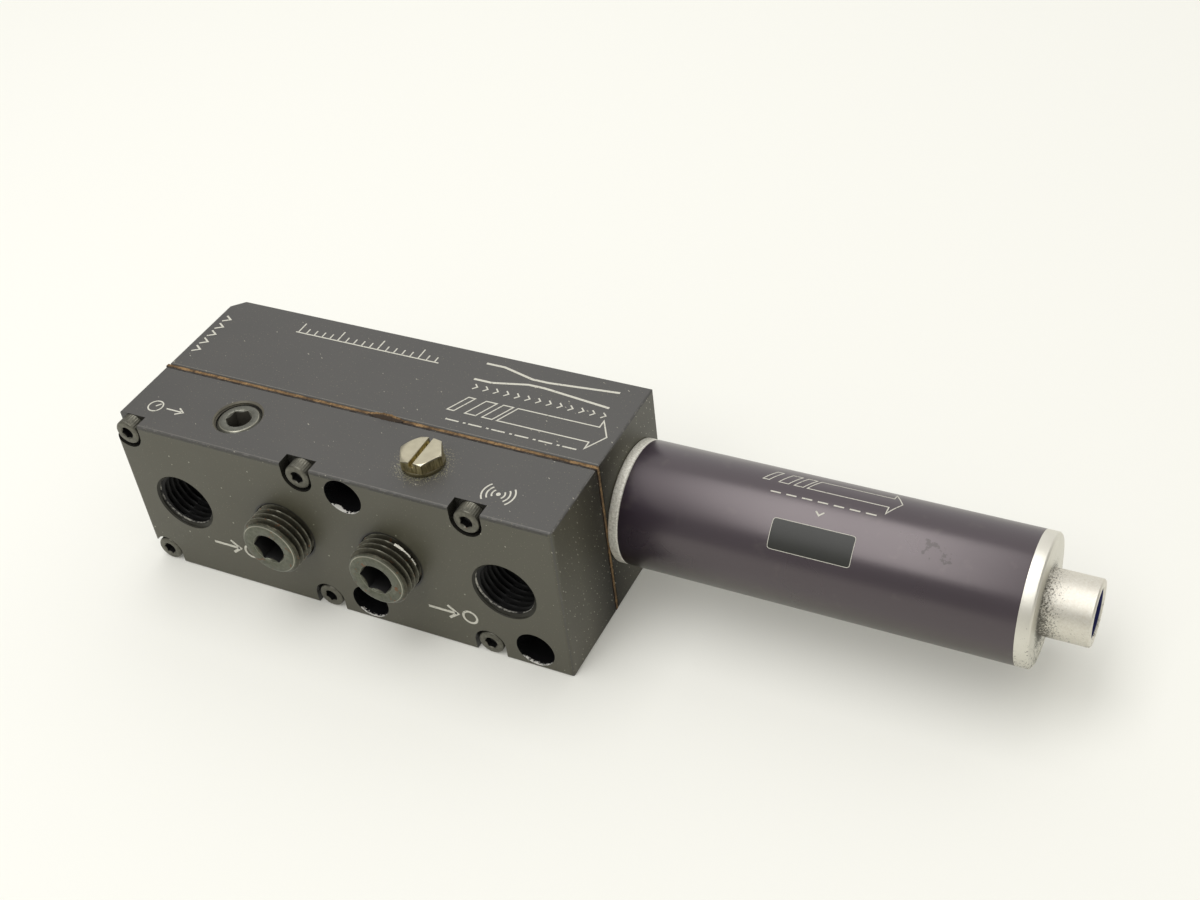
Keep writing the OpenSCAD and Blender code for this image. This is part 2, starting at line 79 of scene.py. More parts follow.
# Holes that the blocks' finish is darker in: (x, z) of the mounting holes'
# centres, x of the counterbores' centres, and a reach a hair past their walls
MOUNT_HOLES = ((4.75, 33.34), (4.75, 4.76), (42.85, 4.76))
MOUNT_REACH = 4.19
SCREW_XS = (-47.6, -5.55, 32.5)
SCREW_REACH = 3.5
SENSOR_AT = np.mean(corners("sensor_port_plug"), 0)[:2]

# Directions (across, up, along) that a turned piece is built in: each is a
# right-handed set, so that a right-hand thread stays one
ALONG_X = np.array([[0, 1, 0], [0, 0, 1], [1, 0, 0]], float)
INTO_FRONT = np.array([[1, 0, 0], [0, 0, -1], [0, 1, 0]], float)
INTO_TOP = np.array([[1, 0, 0], [0, -1, 0], [0, 0, -1]], float)
UP_FROM_TOP = np.array([[1, 0, 0], [0, 1, 0], [0, 0, 1]], float)


# ---------------------------------------------------------------- surfaces

def shell(rings, loop=False):
    """Vertices and faces of a closed surface through a stack of rings.

    rings[i, j] is point j of ring i. Each point joins its neighbours in its
    own ring, which closes on itself, and in the next ring. With loop the last
    ring joins the first one; otherwise a fan of triangles to its own middle
    closes the first ring and the last. Faces are turned the other way round
    where the volume that they enclose comes out negative.
    """
    m, n = rings.shape[:2]
    index = np.arange(m * n).reshape(m, n)
    near, far = (index, np.roll(index, -1, 0)) if loop else (index[:-1], index[1:])
    quads = np.stack(
        [near, np.roll(near, -1, 1), np.roll(far, -1, 1), far], -1
    ).reshape(-1, 4)
    points = rings.reshape(-1, 3)
    fans = np.zeros((0, 3), int)
    if not loop:
        points = np.vstack([points, rings[0].mean(0), rings[-1].mean(0)])
        first = np.stack([np.roll(index[0], -1), index[0], np.full(n, m * n)], 1)
        last = np.stack([index[-1], np.roll(index[-1], -1), np.full(n, m * n + 1)], 1)
        fans = np.vstack([first, last])
    triangles = np.vstack([quads[:, :3], quads[:, [0, 2, 3]], fans])
    a, b, c = (points[triangles[:, i]] for i in range(3))
    if np.einsum("ij,ij->", a - points[0], np.cross(b - points[0], c - points[0])) < 0:
        quads, fans = quads[:, ::-1], fans[:, ::-1]
    return points, quads, fans


def piece(name, shells, material, sharp=34, bands=()):
    """One object from one or more shells in millimetres, with its place in its
    mesh, riding on the body. Edges sharper than that many degrees stay sharp.
    bands lists stretches of each shell's faces that have another material, as
    (first, last, material)."""
    points, faces, offset, finishes = [], [], 0, []
    for p, quads, fans in shells:
        points.append(p)
        faces += (quads + offset).tolist() + (fans + offset).tolist()
        offset += len(p)
        index = np.zeros(len(quads) + len(fans), int)
        for number, (first, last, _) in enumerate(bands, 1):
            index[first:last] = number
        finishes.append(index)
    mesh = bpy.data.meshes.new(name)
    mesh.from_pydata((np.vstack(points) * MM).tolist(), [], faces)
    mesh.materials.append(material)
    for _, _, other in bands:
        mesh.materials.append(other)
    mesh.polygons.foreach_set("material_index", np.concatenate(finishes))
    mesh.validate()
    mesh.shade_smooth()
    mesh.set_sharp_from_angle(angle=math.radians(sharp))
    obj = bpy.data.objects.new(name, mesh)
    bpy.context.scene.collection.objects.link(obj)
    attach(obj, "root")
    return obj


def about_axis(rings, angle, origin, directions, loop=False):
    """Shell of rings about an axis. Each ring has a distance along the axis
    and a radius, plain or for each angle: its points lie at radius * cos(angle)
    across, radius * sin(angle) up and that distance along."""
    along, radius = (np.array([v + 0 * angle for v in column]) for column in zip(*rings))
    local = np.stack([radius * np.cos(angle), radius * np.sin(angle), along], -1)
    return shell(np.asarray(origin) + local @ directions, loop)


def full_turn(count):
    """Evenly spaced angles once round."""
    return np.linspace(0, TURN, count, endpoint=False)


def eased(outline, radius, steps=3):
    """Outline with every corner replaced by a short arc: the points between
    the two tangent points follow a quadratic curve pulled by the corner."""
    p = np.array(outline, float)
    before, after = np.roll(p, 1, 0) - p, np.roll(p, -1, 0) - p
    reach_b = np.linalg.norm(before, axis=1, keepdims=True)
    reach_a = np.linalg.norm(after, axis=1, keepdims=True)
    cut = np.minimum(radius, 0.45 * np.minimum(reach_b, reach_a))
    first, last = p + before / reach_b * cut, p + after / reach_a * cut
    t = np.linspace(0, 1, steps + 1)[None, :, None]
    curve = (1 - t) ** 2 * first[:, None] + 2 * t * (1 - t) * p[:, None] + t**2 * last[:, None]
    return curve.reshape(-1, 2)


def turned(outline, origin, directions, count=192, ease=0.15):
    """Shell swept by turning a closed outline of (along, radius) points about
    its axis: each outline point becomes a ring of that radius."""
    return about_axis(eased(outline, ease), full_turn(count), origin, directions, loop=True)


def thread_height(along, angle, pitch):
    """Height of a right-hand V thread, 0 at its root and 1 at its crest: a
    triangle wave of (along / pitch - angle / turn), cut flat at both ends."""
    phase = (along / pitch - angle / TURN) % 1.0
    return np.clip(1.3 * (1 - np.abs(2 * phase - 1)) - 0.15, 0, 1)


def hexagon(across_flats, angle):
    """Distance from the middle of a hexagon to its side at each angle, with a
    corner at angle 0: half the size over the cosine from the nearest flat."""
    return across_flats / 2 / np.cos((angle % (TURN / 6)) - TURN / 12)


PLUG_POINTS = 240


def socket_plug(origin, directions, face_r, crest_r, root_r, pitch, length, key,
                socket_d, turn, flat_r, rings_per_turn=14):
    """Pipe plug as one stack of rings, from the bottom of its hexagon socket
    out to the end face and back along the thread to the inner end.

    Socket rings have the hexagon's distance at each angle, and open at the
    face in a 45-degree countersink as wide as its corners. Face rings are
    round, and thread rings have radius root + (crest - root) * thread height,
    kept inside a 45-degree cone at each end.
    """
    angle = full_turn(PLUG_POINTS)
    hexa = hexagon(key, angle)
    sink = np.maximum(hexa, 0.975 * key / math.sqrt(3))
    rings = [
        (socket_d + 0.8, 0.02 * hexa),
        (socket_d + 0.1, 0.8 * hexa),
        (socket_d, 0.995 * hexa),
        (socket_d - 0.3, hexa),
        (sink - hexa + 0.06, hexa),
        (sink - hexa + 0.02, hexa + 0.02),
        (0.02, sink),
        (0.0, sink + 0.03),
        (0.0, flat_r - 0.04),
        (0.03, flat_r + 0.02),
        (0.14, flat_r + 0.12),
        (0.26, face_r),
    ]
    for w in np.arange(0.36, length, pitch / rings_per_turn):
        r = root_r + (crest_r - root_r) * thread_height(w, angle, pitch)
        r = np.minimum(r, face_r + 0.08 + (w - 0.36))
        rings.append((w, np.minimum(r, face_r - 0.3 + (length - w))))
    return about_axis(rings, angle + math.radians(turn), origin, directions)


def port_thread(origin, directions, bore_r, mouth_r, crest_r, pitch, depth,
                rings_per_turn=12):
    """Threaded lining of a port, a hair inside the bore of the block.

    Going in, its inner side has the larger of two radii: that of the 45-degree
    countersink, mouth - depth, and that of the thread, root - height. The
    outer side returns along the bore's own wall.
    """
    hair = 0.012
    angle = full_turn(192)
    root_r = bore_r - 0.05
    rings = []
    for w in (0.0, 0.03, *np.arange(0.1, depth, pitch / rings_per_turn), depth):
        r = root_r - (root_r - crest_r) * thread_height(w, angle, pitch)
        rings.append((w, np.maximum(r, mouth_r - hair - w)))
    rings += [(depth, bore_r - hair), (mouth_r - bore_r, bore_r - hair), (0.01, mouth_r - hair)]
    return about_axis(rings, angle, origin, directions, loop=True)


SCREW_POINTS = 216


def cap_screw(origin, directions, head_r, head_h, shank_r, shank_l, key, socket_d, turn):
    """Socket head cap screw: rings from the socket's bottom over the eased
    head and down the shank, at 0 where the head seats. The side of the head is
    knurled: its radius dips by 0.07 |cos(18 angle)|."""
    angle = full_turn(SCREW_POINTS)
    hexa = hexagon(key, angle)
    sink = np.maximum(hexa, key / math.sqrt(3)) + 0.05
    knurl = head_r - 0.07 * np.abs(np.cos(18 * angle))
    rings = [
        (-head_h + socket_d + 0.4, 0.02 * hexa),
        (-head_h + socket_d, hexa * 0.98),
        (-head_h + socket_d - 0.1, hexa),
        (-head_h + sink - hexa, hexa),
        (-head_h, sink),
        (-head_h, head_r - 0.45),
        (-head_h + 0.05, head_r - 0.24),
        (-head_h + 0.18, head_r - 0.07),
        (-head_h + 0.32, head_r),
        (-head_h + 0.46, knurl),
        (-0.3, knurl),
        (-0.2, head_r),
        (-0.05, head_r),
        (0.0, head_r - 0.05),
        (0.0, shank_r),
        (shank_l - 0.3, shank_r),
        (shank_l, shank_r - 0.3),
    ]
    return about_axis(rings, angle + math.radians(turn), origin, directions)


def slotted_hexagon(origin, corner_r, height, slot_w, slot_d, bevel):
    """Hexagon head cut into upright slices across its screwdriver slot.

    A slice at distance x from the slot's middle reaches to the hexagon's side,
    min(sqrt(3) / 2 * R, sqrt(3) * (R - |x|)), and its top lies at the height,
    less the slot's depth within half its width, less a 30-degree cone that
    bevels the corners. The cone stands a little off the middle, as it was cut.
    """
    half = slot_w / 2
    right = np.sort([
        0, half * 0.5, half - 0.001, half, half + 0.1, half + 0.5,
        corner_r * 0.32, corner_r * 0.4, corner_r * 0.46, corner_r / 2,
        corner_r * 0.56, corner_r * 0.65, corner_r * 0.75, corner_r * 0.85,
        corner_r * 0.93, corner_r * 0.98, corner_r * 0.9995,
    ])
    x = np.concatenate([-right[:0:-1], right])
    reach = np.minimum(math.sqrt(3) / 2 * corner_r, math.sqrt(3) * (corner_r - np.abs(x)))
    t = np.concatenate([[-1.0], -np.cos(np.linspace(0.2, math.pi - 0.2, 29)), [1.0]])
    y = reach[:, None] * t[None, :]
    far = np.sqrt((x[:, None] - 0.22) ** 2 + (y + 0.12) ** 2)
    top = height - np.maximum(0, far - (corner_r - bevel)) * 0.577
    top = top - np.where(np.abs(x) < half - 0.0005, slot_d, 0)[:, None]
    top = top - np.where(np.abs(np.abs(x) - half) < 0.0005, 0.09, 0)[:, None]
    xs = np.repeat(x[:, None], len(t), 1)
    upper = np.stack([xs, y, top], -1)
    lower = np.stack([xs, y, 0 * top], -1)[:, ::-1]
    return shell(np.asarray(origin) + np.concatenate([upper, lower], 1))


# ------------------------------------------------------------ printed marks

INK_T = 0.025


def stroke(points, width, surface, closed=False, step=0.6):
    """Printed line: a flat bar of that width along a path, mitred at corners.

    Each side point lies off the path by half the width along the mean of the
    two edge normals there, divided by the cosine of half the turn. surface
    gives the row-frame place of (x, y, height) on the printed face.
    """
    p = np.array(points, float)
    ends = np.vstack([p, p[:1]]) if closed else p
    pieces = []
    for a, b in zip(ends[:-1], ends[1:]):
        count = max(1, int(np.linalg.norm(b - a) / step))
        t = np.linspace(0, 1, count, endpoint=False)[:, None]
        pieces.append(a + (b - a) * t)
    p = np.vstack(pieces + ([] if closed else [ends[-1:]]))
    ahead = np.roll(p, -1, 0) - p
    behind = p - np.roll(p, 1, 0)
    if not closed:
        ahead[-1], behind[0] = behind[-1], ahead[0]
    ahead /= np.linalg.norm(ahead, axis=1, keepdims=True)
    behind /= np.linalg.norm(behind, axis=1, keepdims=True)
    mean = ahead + behind
    mean /= np.maximum(np.linalg.norm(mean, axis=1, keepdims=True), 1e-6)
    side = np.stack([-mean[:, 1], mean[:, 0]], 1)
    cosine = np.clip((mean * ahead).sum(1, keepdims=True), 0.35, 1)
    off = side * width / 2 / cosine
    left, right = p + off, p - off
    rings = np.stack([
        surface(left, -0.01), surface(right, -0.01),
        surface(right, INK_T), surface(left, INK_T),
    ], 1)
    return shell(rings, loop=closed)


def on_top(xy, h):
    """The flat top of the blocks."""
    return np.column_stack([xy, np.full(len(xy), TOP_Z + h)])


def on_front(xz, h):
    """The port face of the manifold."""
    return np.column_stack([xz[:, 0], np.full(len(xz), FRONT_Y - h), xz[:, 1]])


def on_tube(xs, h):
    """The round of the silencer: the second number is the distance along the
    round from its highest line, positive towards the mounting side."""
    a = xs[:, 1] / TUBE_R
    r = TUBE_R + h
    return np.column_stack([xs[:, 0], r * np.sin(a), AXIS_Z + r * np.cos(a)])


def flow_arrow(x0, x1, y, body, head, surface, width):
    """Outlined arrow with three slanted bars at its tail, along +X."""
    span = x1 - x0
    lean = body * 0.5
    low, high = y - body / 2, y + body / 2
    tip = x1 - span * 0.078
    strokes = []
    for start, wide in ((0.0, 0.045), (0.118, 0.072), (0.233, 0.066)):
        a = x0 + span * start
        b = a + span * wide
        strokes.append([(a, low), (b, low), (b + lean, high), (a + lean, high)])
    a = x0 + span * 0.33
    strokes.append([
        (a, low), (tip, low), (tip, y - head / 2), (x1, y),
        (tip, y + head / 2), (tip, high), (a + lean, high),
    ])
    return [stroke(s, width, surface, closed=True) for s in strokes]


def arc(cx, cy, r, a0, a1, count=24):
    """Points of an arc between two angles in degrees."""
    a = np.radians(np.linspace(a0, a1, count))
    return np.column_stack([cx + r * np.cos(a), cy + r * np.sin(a)])


def slab(x0, x1, y0, y1, corner, surface, thick):
    """Thin printed field with round corners, cut into slices along x: a slice
    reaches the full height, less corner - sqrt(corner^2 - d^2) at its ends."""
    x = np.concatenate([
        x0 + corner * (1 - np.cos(np.linspace(0.15, math.pi / 2, 6))),
        np.linspace(x0 + corner, x1 - corner, 24)[1:-1],
        x1 - corner * (1 - np.cos(np.linspace(math.pi / 2, 0.15, 6))),
    ])
    d = np.maximum(0, np.maximum(x0 + corner - x, x - x1 + corner))
    cut = corner - np.sqrt(np.maximum(corner**2 - d**2, 0))
    t = np.linspace(0, 1, 25)
    y = (y0 + cut)[:, None] + (y1 - y0 - 2 * cut)[:, None] * t
    xy = np.stack([np.repeat(x[:, None], len(t), 1), y], -1).reshape(-1, 2)
    upper = surface(xy, thick).reshape(len(x), len(t), 3)
    lower = surface(xy, -0.01).reshape(len(x), len(t), 3)[:, ::-1]
    return shell(np.concatenate([upper, lower], 1))


# ---------------------------------------------------------------- materials

def colour(code):
    """Linear colour from an sRGB hex code."""
    s = np.array([int(code[i:i + 2], 16) for i in (1, 3, 5)]) / 255
    return (*np.where(s <= 0.04045, s / 12.92, ((s + 0.055) / 1.055) ** 2.4).tolist(), 1.0)


def feed(node, *values, **named):
    """Gives inputs of a node plain values or outputs of other nodes: first the
    inputs in use, in their order, then by name, with an underscore for a space."""
    used = [socket for socket in node.inputs if socket.enabled]
    pairs = list(zip(used, values))
    pairs += [(node.inputs[key.replace("_", " ")], value) for key, value in named.items()]
    for socket, value in pairs:
        if isinstance(value, bpy.types.Node):
            value = next(output for output in value.outputs if output.enabled)
        if isinstance(value, bpy.types.NodeSocket):
            node.id_data.links.new(value, socket)
        else:
            socket.default_value = value


def add(tree, kind, *values, **named):
    """Adds one node with its settings and links. kind is its type and, after a
    space, its operation. Names in small letters are its properties; the rest is
    for feed."""
    kind, _, operation = kind.partition(" ")
    node = tree.nodes.new("ShaderNode" + kind)
    if operation:
        node.operation = operation
    for key in [key for key in named if key.islower()]:
        setattr(node, key, named.pop(key))
    feed(node, *values, **named)
    return node


def start(name, dark, light, scale, detail, roughness=0.5, low=0.0, high=1.0):
    """A new material in two close tones, mixed by where a cloud of noise lies
    between low and high. Returns the material, its tree, the place on the
    piece in millimetres, the cloud and the mixed colour."""
    m = bpy.data.materials.new(name)
    m.use_nodes = True
    t = m.node_tree
    mm = add(t, "VectorMath SCALE", add(t, "TexCoord").outputs["Object"], 1 / MM)
    cloud = add(t, "TexNoise", mm, Scale=scale, Detail=detail, Roughness=roughness)
    mask = add(t, "MapRange", cloud, low, high)
    base = add(t, "Mix", mask, colour(dark), colour(light), data_type="RGBA")
    return m, t, mm, cloud, base


def finished(m, base, coats=(), relief=None, **feeds):
    """Completes a material: lays its coats, each a mask and a colour, over the
    base in their order, and feeds the shader. relief is a height, the strength
    of its bump and its depth in millimetres."""
    t = m.node_tree
    for mask, tone in coats:
        tone = colour(tone) if isinstance(tone, str) else tone
        base = add(t, "Mix", mask, base, tone, data_type="RGBA")
    if relief:
        height, strength, depth = relief
        feeds["Normal"] = add(t, "Bump", Strength=strength, Distance=depth * MM, Height=height)
    feed(t.nodes["Principled BSDF"], Base_Color=base, **feeds)
    return m


def black_anodised_block():
    """Hard black anodising on milled aluminium: satin and nearly neutral, with
    a fine grain from the etch, pale dust, edges rubbed to grey with a painted
    highlight along them, painted light and shade along the top edges and the
    joint, holes painted near black as shade, and bare metal where a drill broke
    the lower lip of a hole."""
    m, t, mm, cloud, base = start("black_anodised_aluminium", "#3e3d3b", "#484643", 0.05, 3.0, 0.6)
    x, y, z = add(t, "SeparateXYZ", mm).outputs
    ragged = add(t, "TexNoise", mm, Scale=0.5, Detail=5.0, Roughness=0.65)
    # distance from the nearest outer edge: the middle one of the distances
    # to the three pairs of outer faces
    gaps = []
    for at, low, high in ((x, LEFT_X, RIGHT_X), (y, FRONT_Y, VENTURI_HIGH[1]), (z, 0.0, TOP_Z)):
        off = add(t, "Math SUBTRACT", at, (low + high) / 2)
        size = add(t, "Math ABSOLUTE", off)
        gaps.append(add(t, "Math SUBTRACT", (high - low) / 2, size))
    side = add(t, "Math MINIMUM", gaps[0], gaps[1])
    large = add(t, "Math MAXIMUM", gaps[0], gaps[1])
    inner = add(t, "Math MINIMUM", large, gaps[2])
    edge = add(t, "Math MAXIMUM", side, inner)
    # the edges are rubbed to grey, and the grey there also paints a highlight along them
    reach = add(t, "MapRange", ragged, 0.42, 0.7, 0.0, 0.5)
    edge_wear_and_highlight = add(t, "MapRange", edge, 0.0, reach, 0.7, 0.0)
    # the upright faces are painted a lighter, more olive tone than the top
    level = add(t, "Math GREATER_THAN", gaps[2], 0.35)
    upright_tone = add(t, "MapRange", side, 0.1, 0.3, level, 0.0)
    # the exhaust end is dark with oil along the joint, and painted paler low down as painted light
    # thrown up from the floor
    end = add(t, "Math GREATER_THAN", x, RIGHT_X - 0.1)
    pale = add(t, "MapRange", z, 13.0, 1.0, 0.0, 0.5)
    pale = add(t, "Math MULTIPLY", pale, end)
    oily = add(t, "Math SUBTRACT", y, JOINT_Y)
    oily = add(t, "Math ABSOLUTE", oily)
    oily = add(t, "MapRange", oily, 11.0, 1.0, 0.0, 0.9)
    oily = add(t, "Math MULTIPLY", oily, end)
    coats = [(upright_tone, "#494739"), (edge_wear_and_highlight, "#7d7b76"), (pale, "#5a564a"), (oily, "#23211b")]
    # painted highlight on the top of the edge over the port face and a painted
    # dark reflection just below it, a painted highlight on the venturi block's
    # edge at the joint, and oil with painted shade on the manifold's side of the
    # joint: a strip is centre, half width
    patchy = add(t, "MapRange", ragged, 0.35, 0.55, 0.5, 1.0)
    top = add(t, "Math GREATER_THAN", z, TOP_Z - 0.02)
    front = add(t, "Math LESS_THAN", y, FRONT_Y + 0.02)
    for axis, centre, half, face, tone in (
            (y, FRONT_Y + 0.25, 0.25, top, "#615f59"), (z, TOP_Z - 0.5, 0.32, front, "#2a2823"),
            (y, VENTURI_LOW[1] + 0.2, 0.2, top, "#7d7b71"),
            (y, JOINT_Y - 0.3, 0.33, 1.0, "#1c140d")):
        strip = add(t, "Math COMPARE", axis, centre, half)
        for part in (patchy, face):
            strip = add(t, "Math MULTIPLY", strip, part)
        coats.append((strip, tone))
    dull = add(t, "Math MAXIMUM", strip, oily)
    gloss = add(t, "MapRange", dull, 0.0, 1.0, 0.5, 0.15)
    # crumbs of dirt round the sensor plug, thinning out to 7 mm from it
    flat = add(t, "CombineXYZ", x, y)
    reach = add(t, "VectorMath DISTANCE", flat, (*SENSOR_AT, 0.0))
    limit = add(t, "MapRange", reach, 4.3, 7.2, 0.5, 0.7)
    crumbs = add(t, "TexNoise", mm, Scale=3.2, Detail=2.0)
    crumbs = add(t, "Math GREATER_THAN", crumbs, limit)
    # specks of pale dust of 0.1 to 0.4 mm, thick in places on the exhaust end
    across = add(t, "Math ADD", x, y)
    along = add(t, "Math ADD", z, y)
    spread = add(t, "CombineXYZ", across, along)
    cells = add(t, "TexVoronoi", spread, Scale=0.6, voronoi_dimensions="2D")
    pick = add(t, "SeparateXYZ", cells.outputs["Color"])
    size = add(t, "MapRange", pick.outputs[1], 0.0, 1.0, 0.04, 0.12)
    near = add(t, "Math LESS_THAN", cells, size)
    swept = add(t, "TexNoise", mm, Scale=0.12, Detail=2.0)
    swept = add(t, "MapRange", swept, 0.42, 0.58, 0.7, 0.05)
    limit = add(t, "MapRange", end, 0.0, 1.0, 0.95, swept)
    dust = add(t, "Math GREATER_THAN", pick, limit)
    for part in (near, 0.7):
        dust = add(t, "Math MULTIPLY", dust, part)
    # painted shade: the walls of the mounting holes and of the counterbores are painted near
    # black, and glossy
    upright = add(t, "CombineXYZ", x, 0.0, z)
    bore = upper = 0.0
    for hole_x, hole_z in MOUNT_HOLES:
        reach = add(t, "VectorMath DISTANCE", upright, (hole_x, 0.0, hole_z))
        hole = add(t, "Math LESS_THAN", reach, MOUNT_REACH)
        bore = add(t, "Math MAXIMUM", hole, bore)
        high = add(t, "MapRange", z, hole_z - 2.9, hole_z - 1.2, 0.0, 3.0)
        high = add(t, "Math MULTIPLY", high, hole)
        upper = add(t, "Math MAXIMUM", high, upper)
    middle = add(t, "Math SUBTRACT", z, AXIS_Z)
    middle = add(t, "Math ABSOLUTE", middle)
    row = add(t, "Math GREATER_THAN", middle, AXIS_Z - 6.4)
    behind = add(t, "Math GREATER_THAN", y, FRONT_Y + 0.04)
    before = add(t, "Math LESS_THAN", y, FRONT_Y + 3.05)
    for part in (behind, before):
        row = add(t, "Math MULTIPLY", row, part)
    inside = bore
    for screw_x in SCREW_XS:
        pocket = add(t, "Math COMPARE", x, screw_x, SCREW_REACH)
        pocket = add(t, "Math MULTIPLY", pocket, row)
        inside = add(t, "Math MAXIMUM", pocket, inside)
    coats += [(crumbs, "#77745f"), (dust, "#a8a596"), (inside, "#2a2925"), (bore, "#141415")]
    # painted shade: a dark ring on the port face in the gap where each port plug goes in
    for name in ("port_plug_1", "port_plug_2"):
        plug_x, _, plug_z = np.mean(corners(name), 0)
        reach = add(t, "VectorMath DISTANCE", upright, (plug_x, 0.0, plug_z))
        ring = add(t, "MapRange", reach, 7.15, 7.5, 0.9, 0.0)
        coats.append((ring, "#141415"))
    # bare metal: flakes at the mouth of each mounting hole, low on the left
    lip = add(t, "TexNoise", mm, Scale=1.6, Detail=5.0, Roughness=0.75)
    lip = add(t, "MapRange", lip, 0.37, 0.62, FRONT_Y, FRONT_Y + 0.8)
    torn = add(t, "VectorMath DISTANCE", mm, (2.84, FRONT_Y + 0.3, 29.6))
    torn = add(t, "MapRange", torn, 0.5, 1.2, 0.9, 0.0)
    lip = add(t, "Math ADD", lip, torn)
    lip = add(t, "Math SUBTRACT", lip, upper)
    bare = add(t, "Math LESS_THAN", y, lip)
    for part in (bore, behind):
        bare = add(t, "Math MULTIPLY", bare, part)
    coats.append((bare, "#f4f2ea"))
    rough = add(t, "MapRange", cloud, 0.0, 1.0, 0.42, 0.54)
    rough = add(t, "MapRange", inside, 0.0, 1.0, rough, 0.26)
    # etched grain of about 0.15 mm, drawn a little coarser so that it shows
    grain = add(t, "TexNoise", mm, Scale=4.5, Detail=2.0)
    return finished(m, base, coats, (grain, 0.12, 0.04),
                    Roughness=rough, Specular_IOR_Level=gloss, IOR=1.6)


def shaded_oily_thread():
    """Cut thread, anodised black and wet with oil, painted near black as the
    shade inside the port and darker further in, with a worn bright line where
    the countersink meets the first thread."""
    m, t, mm, _, base = start("oily_thread_painted_shade", "#080808", "#131313", 0.8, 4.0)
    y = add(t, "SeparateXYZ", mm).outputs[1]
    # painted shade: darker further into the port
    deep = add(t, "MapRange", y, FRONT_Y + 1.5, FRONT_Y + 5.0)
    mouth = add(t, "MapRange", y, FRONT_Y + 0.7, FRONT_Y + 0.8, 1.0, 0.0)
    worn = add(t, "TexNoise", mm, Scale=1.1, Detail=5.0, Roughness=0.7)
    worn = add(t, "MapRange", worn, 0.4, 0.6)
    line = add(t, "Math COMPARE", y, FRONT_Y + 0.9, 0.1)
    line = add(t, "Math MULTIPLY", line, worn)
    rough = add(t, "MapRange", mouth, 0.0, 1.0, 0.46, 0.42)
    return finished(m, base, [(deep, "#050505"), (mouth, "#2d2c25"), (line, "#a9a79f")],
                    Metallic=line, Roughness=rough, IOR=1.33)


def black_anodised_tube():
    """Dyed anodising on drawn tube: darker and smoother than the blocks, with
    a faint purple cast, fine lines along the draw, a few dull smudges and a
    painted greener reflection of the floor on the underside."""
    m, t, mm, cloud, base = start("black_anodised_drawn_tube", "#231b25", "#2a212c", 0.06, 3.0)
    smudge = add(t, "TexNoise", mm, Scale=0.16, Detail=3.0, Roughness=0.6)
    smudge = add(t, "MapRange", smudge, 0.6, 0.75)
    # painted reflection of the warm floor: the underside is greener, and so is the tinting of its
    # reflections
    z = add(t, "SeparateXYZ", mm).outputs[2]
    under = add(t, "MapRange", z, AXIS_Z, AXIS_Z - 9.0, 0.0, 0.8)
    tint = add(t, "Mix", under, (1.0, 0.9, 0.9, 1.0), (0.9, 0.86, 0.6, 1.0), data_type="RGBA")
    # a greenish oil blotch and a smaller one on the exhaust half
    ragged = add(t, "TexNoise", mm, Scale=0.7, Detail=3.0, Roughness=0.6)
    ragged = add(t, "MapRange", ragged, 0.35, 0.65, -1.5, 1.5)
    oil = 0.0
    for at, size in (((112.9, -5.3, 30.65), 1.2), ((116.4, -6.4, 30.1), 0.5)):
        blot = add(t, "VectorMath DISTANCE", mm, at)
        blot = add(t, "Math ADD", blot, ragged)
        blot = add(t, "MapRange", blot, size, size - 0.4, 0.0, 0.8)
        oil = add(t, "Math MAXIMUM", blot, oil)
    gloss = add(t, "MapRange", oil, 0.0, 1.0, 0.5, 0.36)
    rough = add(t, "MapRange", cloud, 0.3, 0.8, 0.27, 0.32)
    drawn = add(t, "VectorMath MULTIPLY", mm, (0.05, 3.0, 3.0))
    lines = add(t, "TexNoise", drawn, Scale=1.0, Detail=2.0)
    return finished(m, base, [(smudge, "#3a3536"), (under, "#211f17"), (oil, "#10150f")],
                    (lines, 0.08, 0.03), Roughness=rough, IOR=1.85,
                    Specular_IOR_Level=gloss, Specular_Tint=tint)


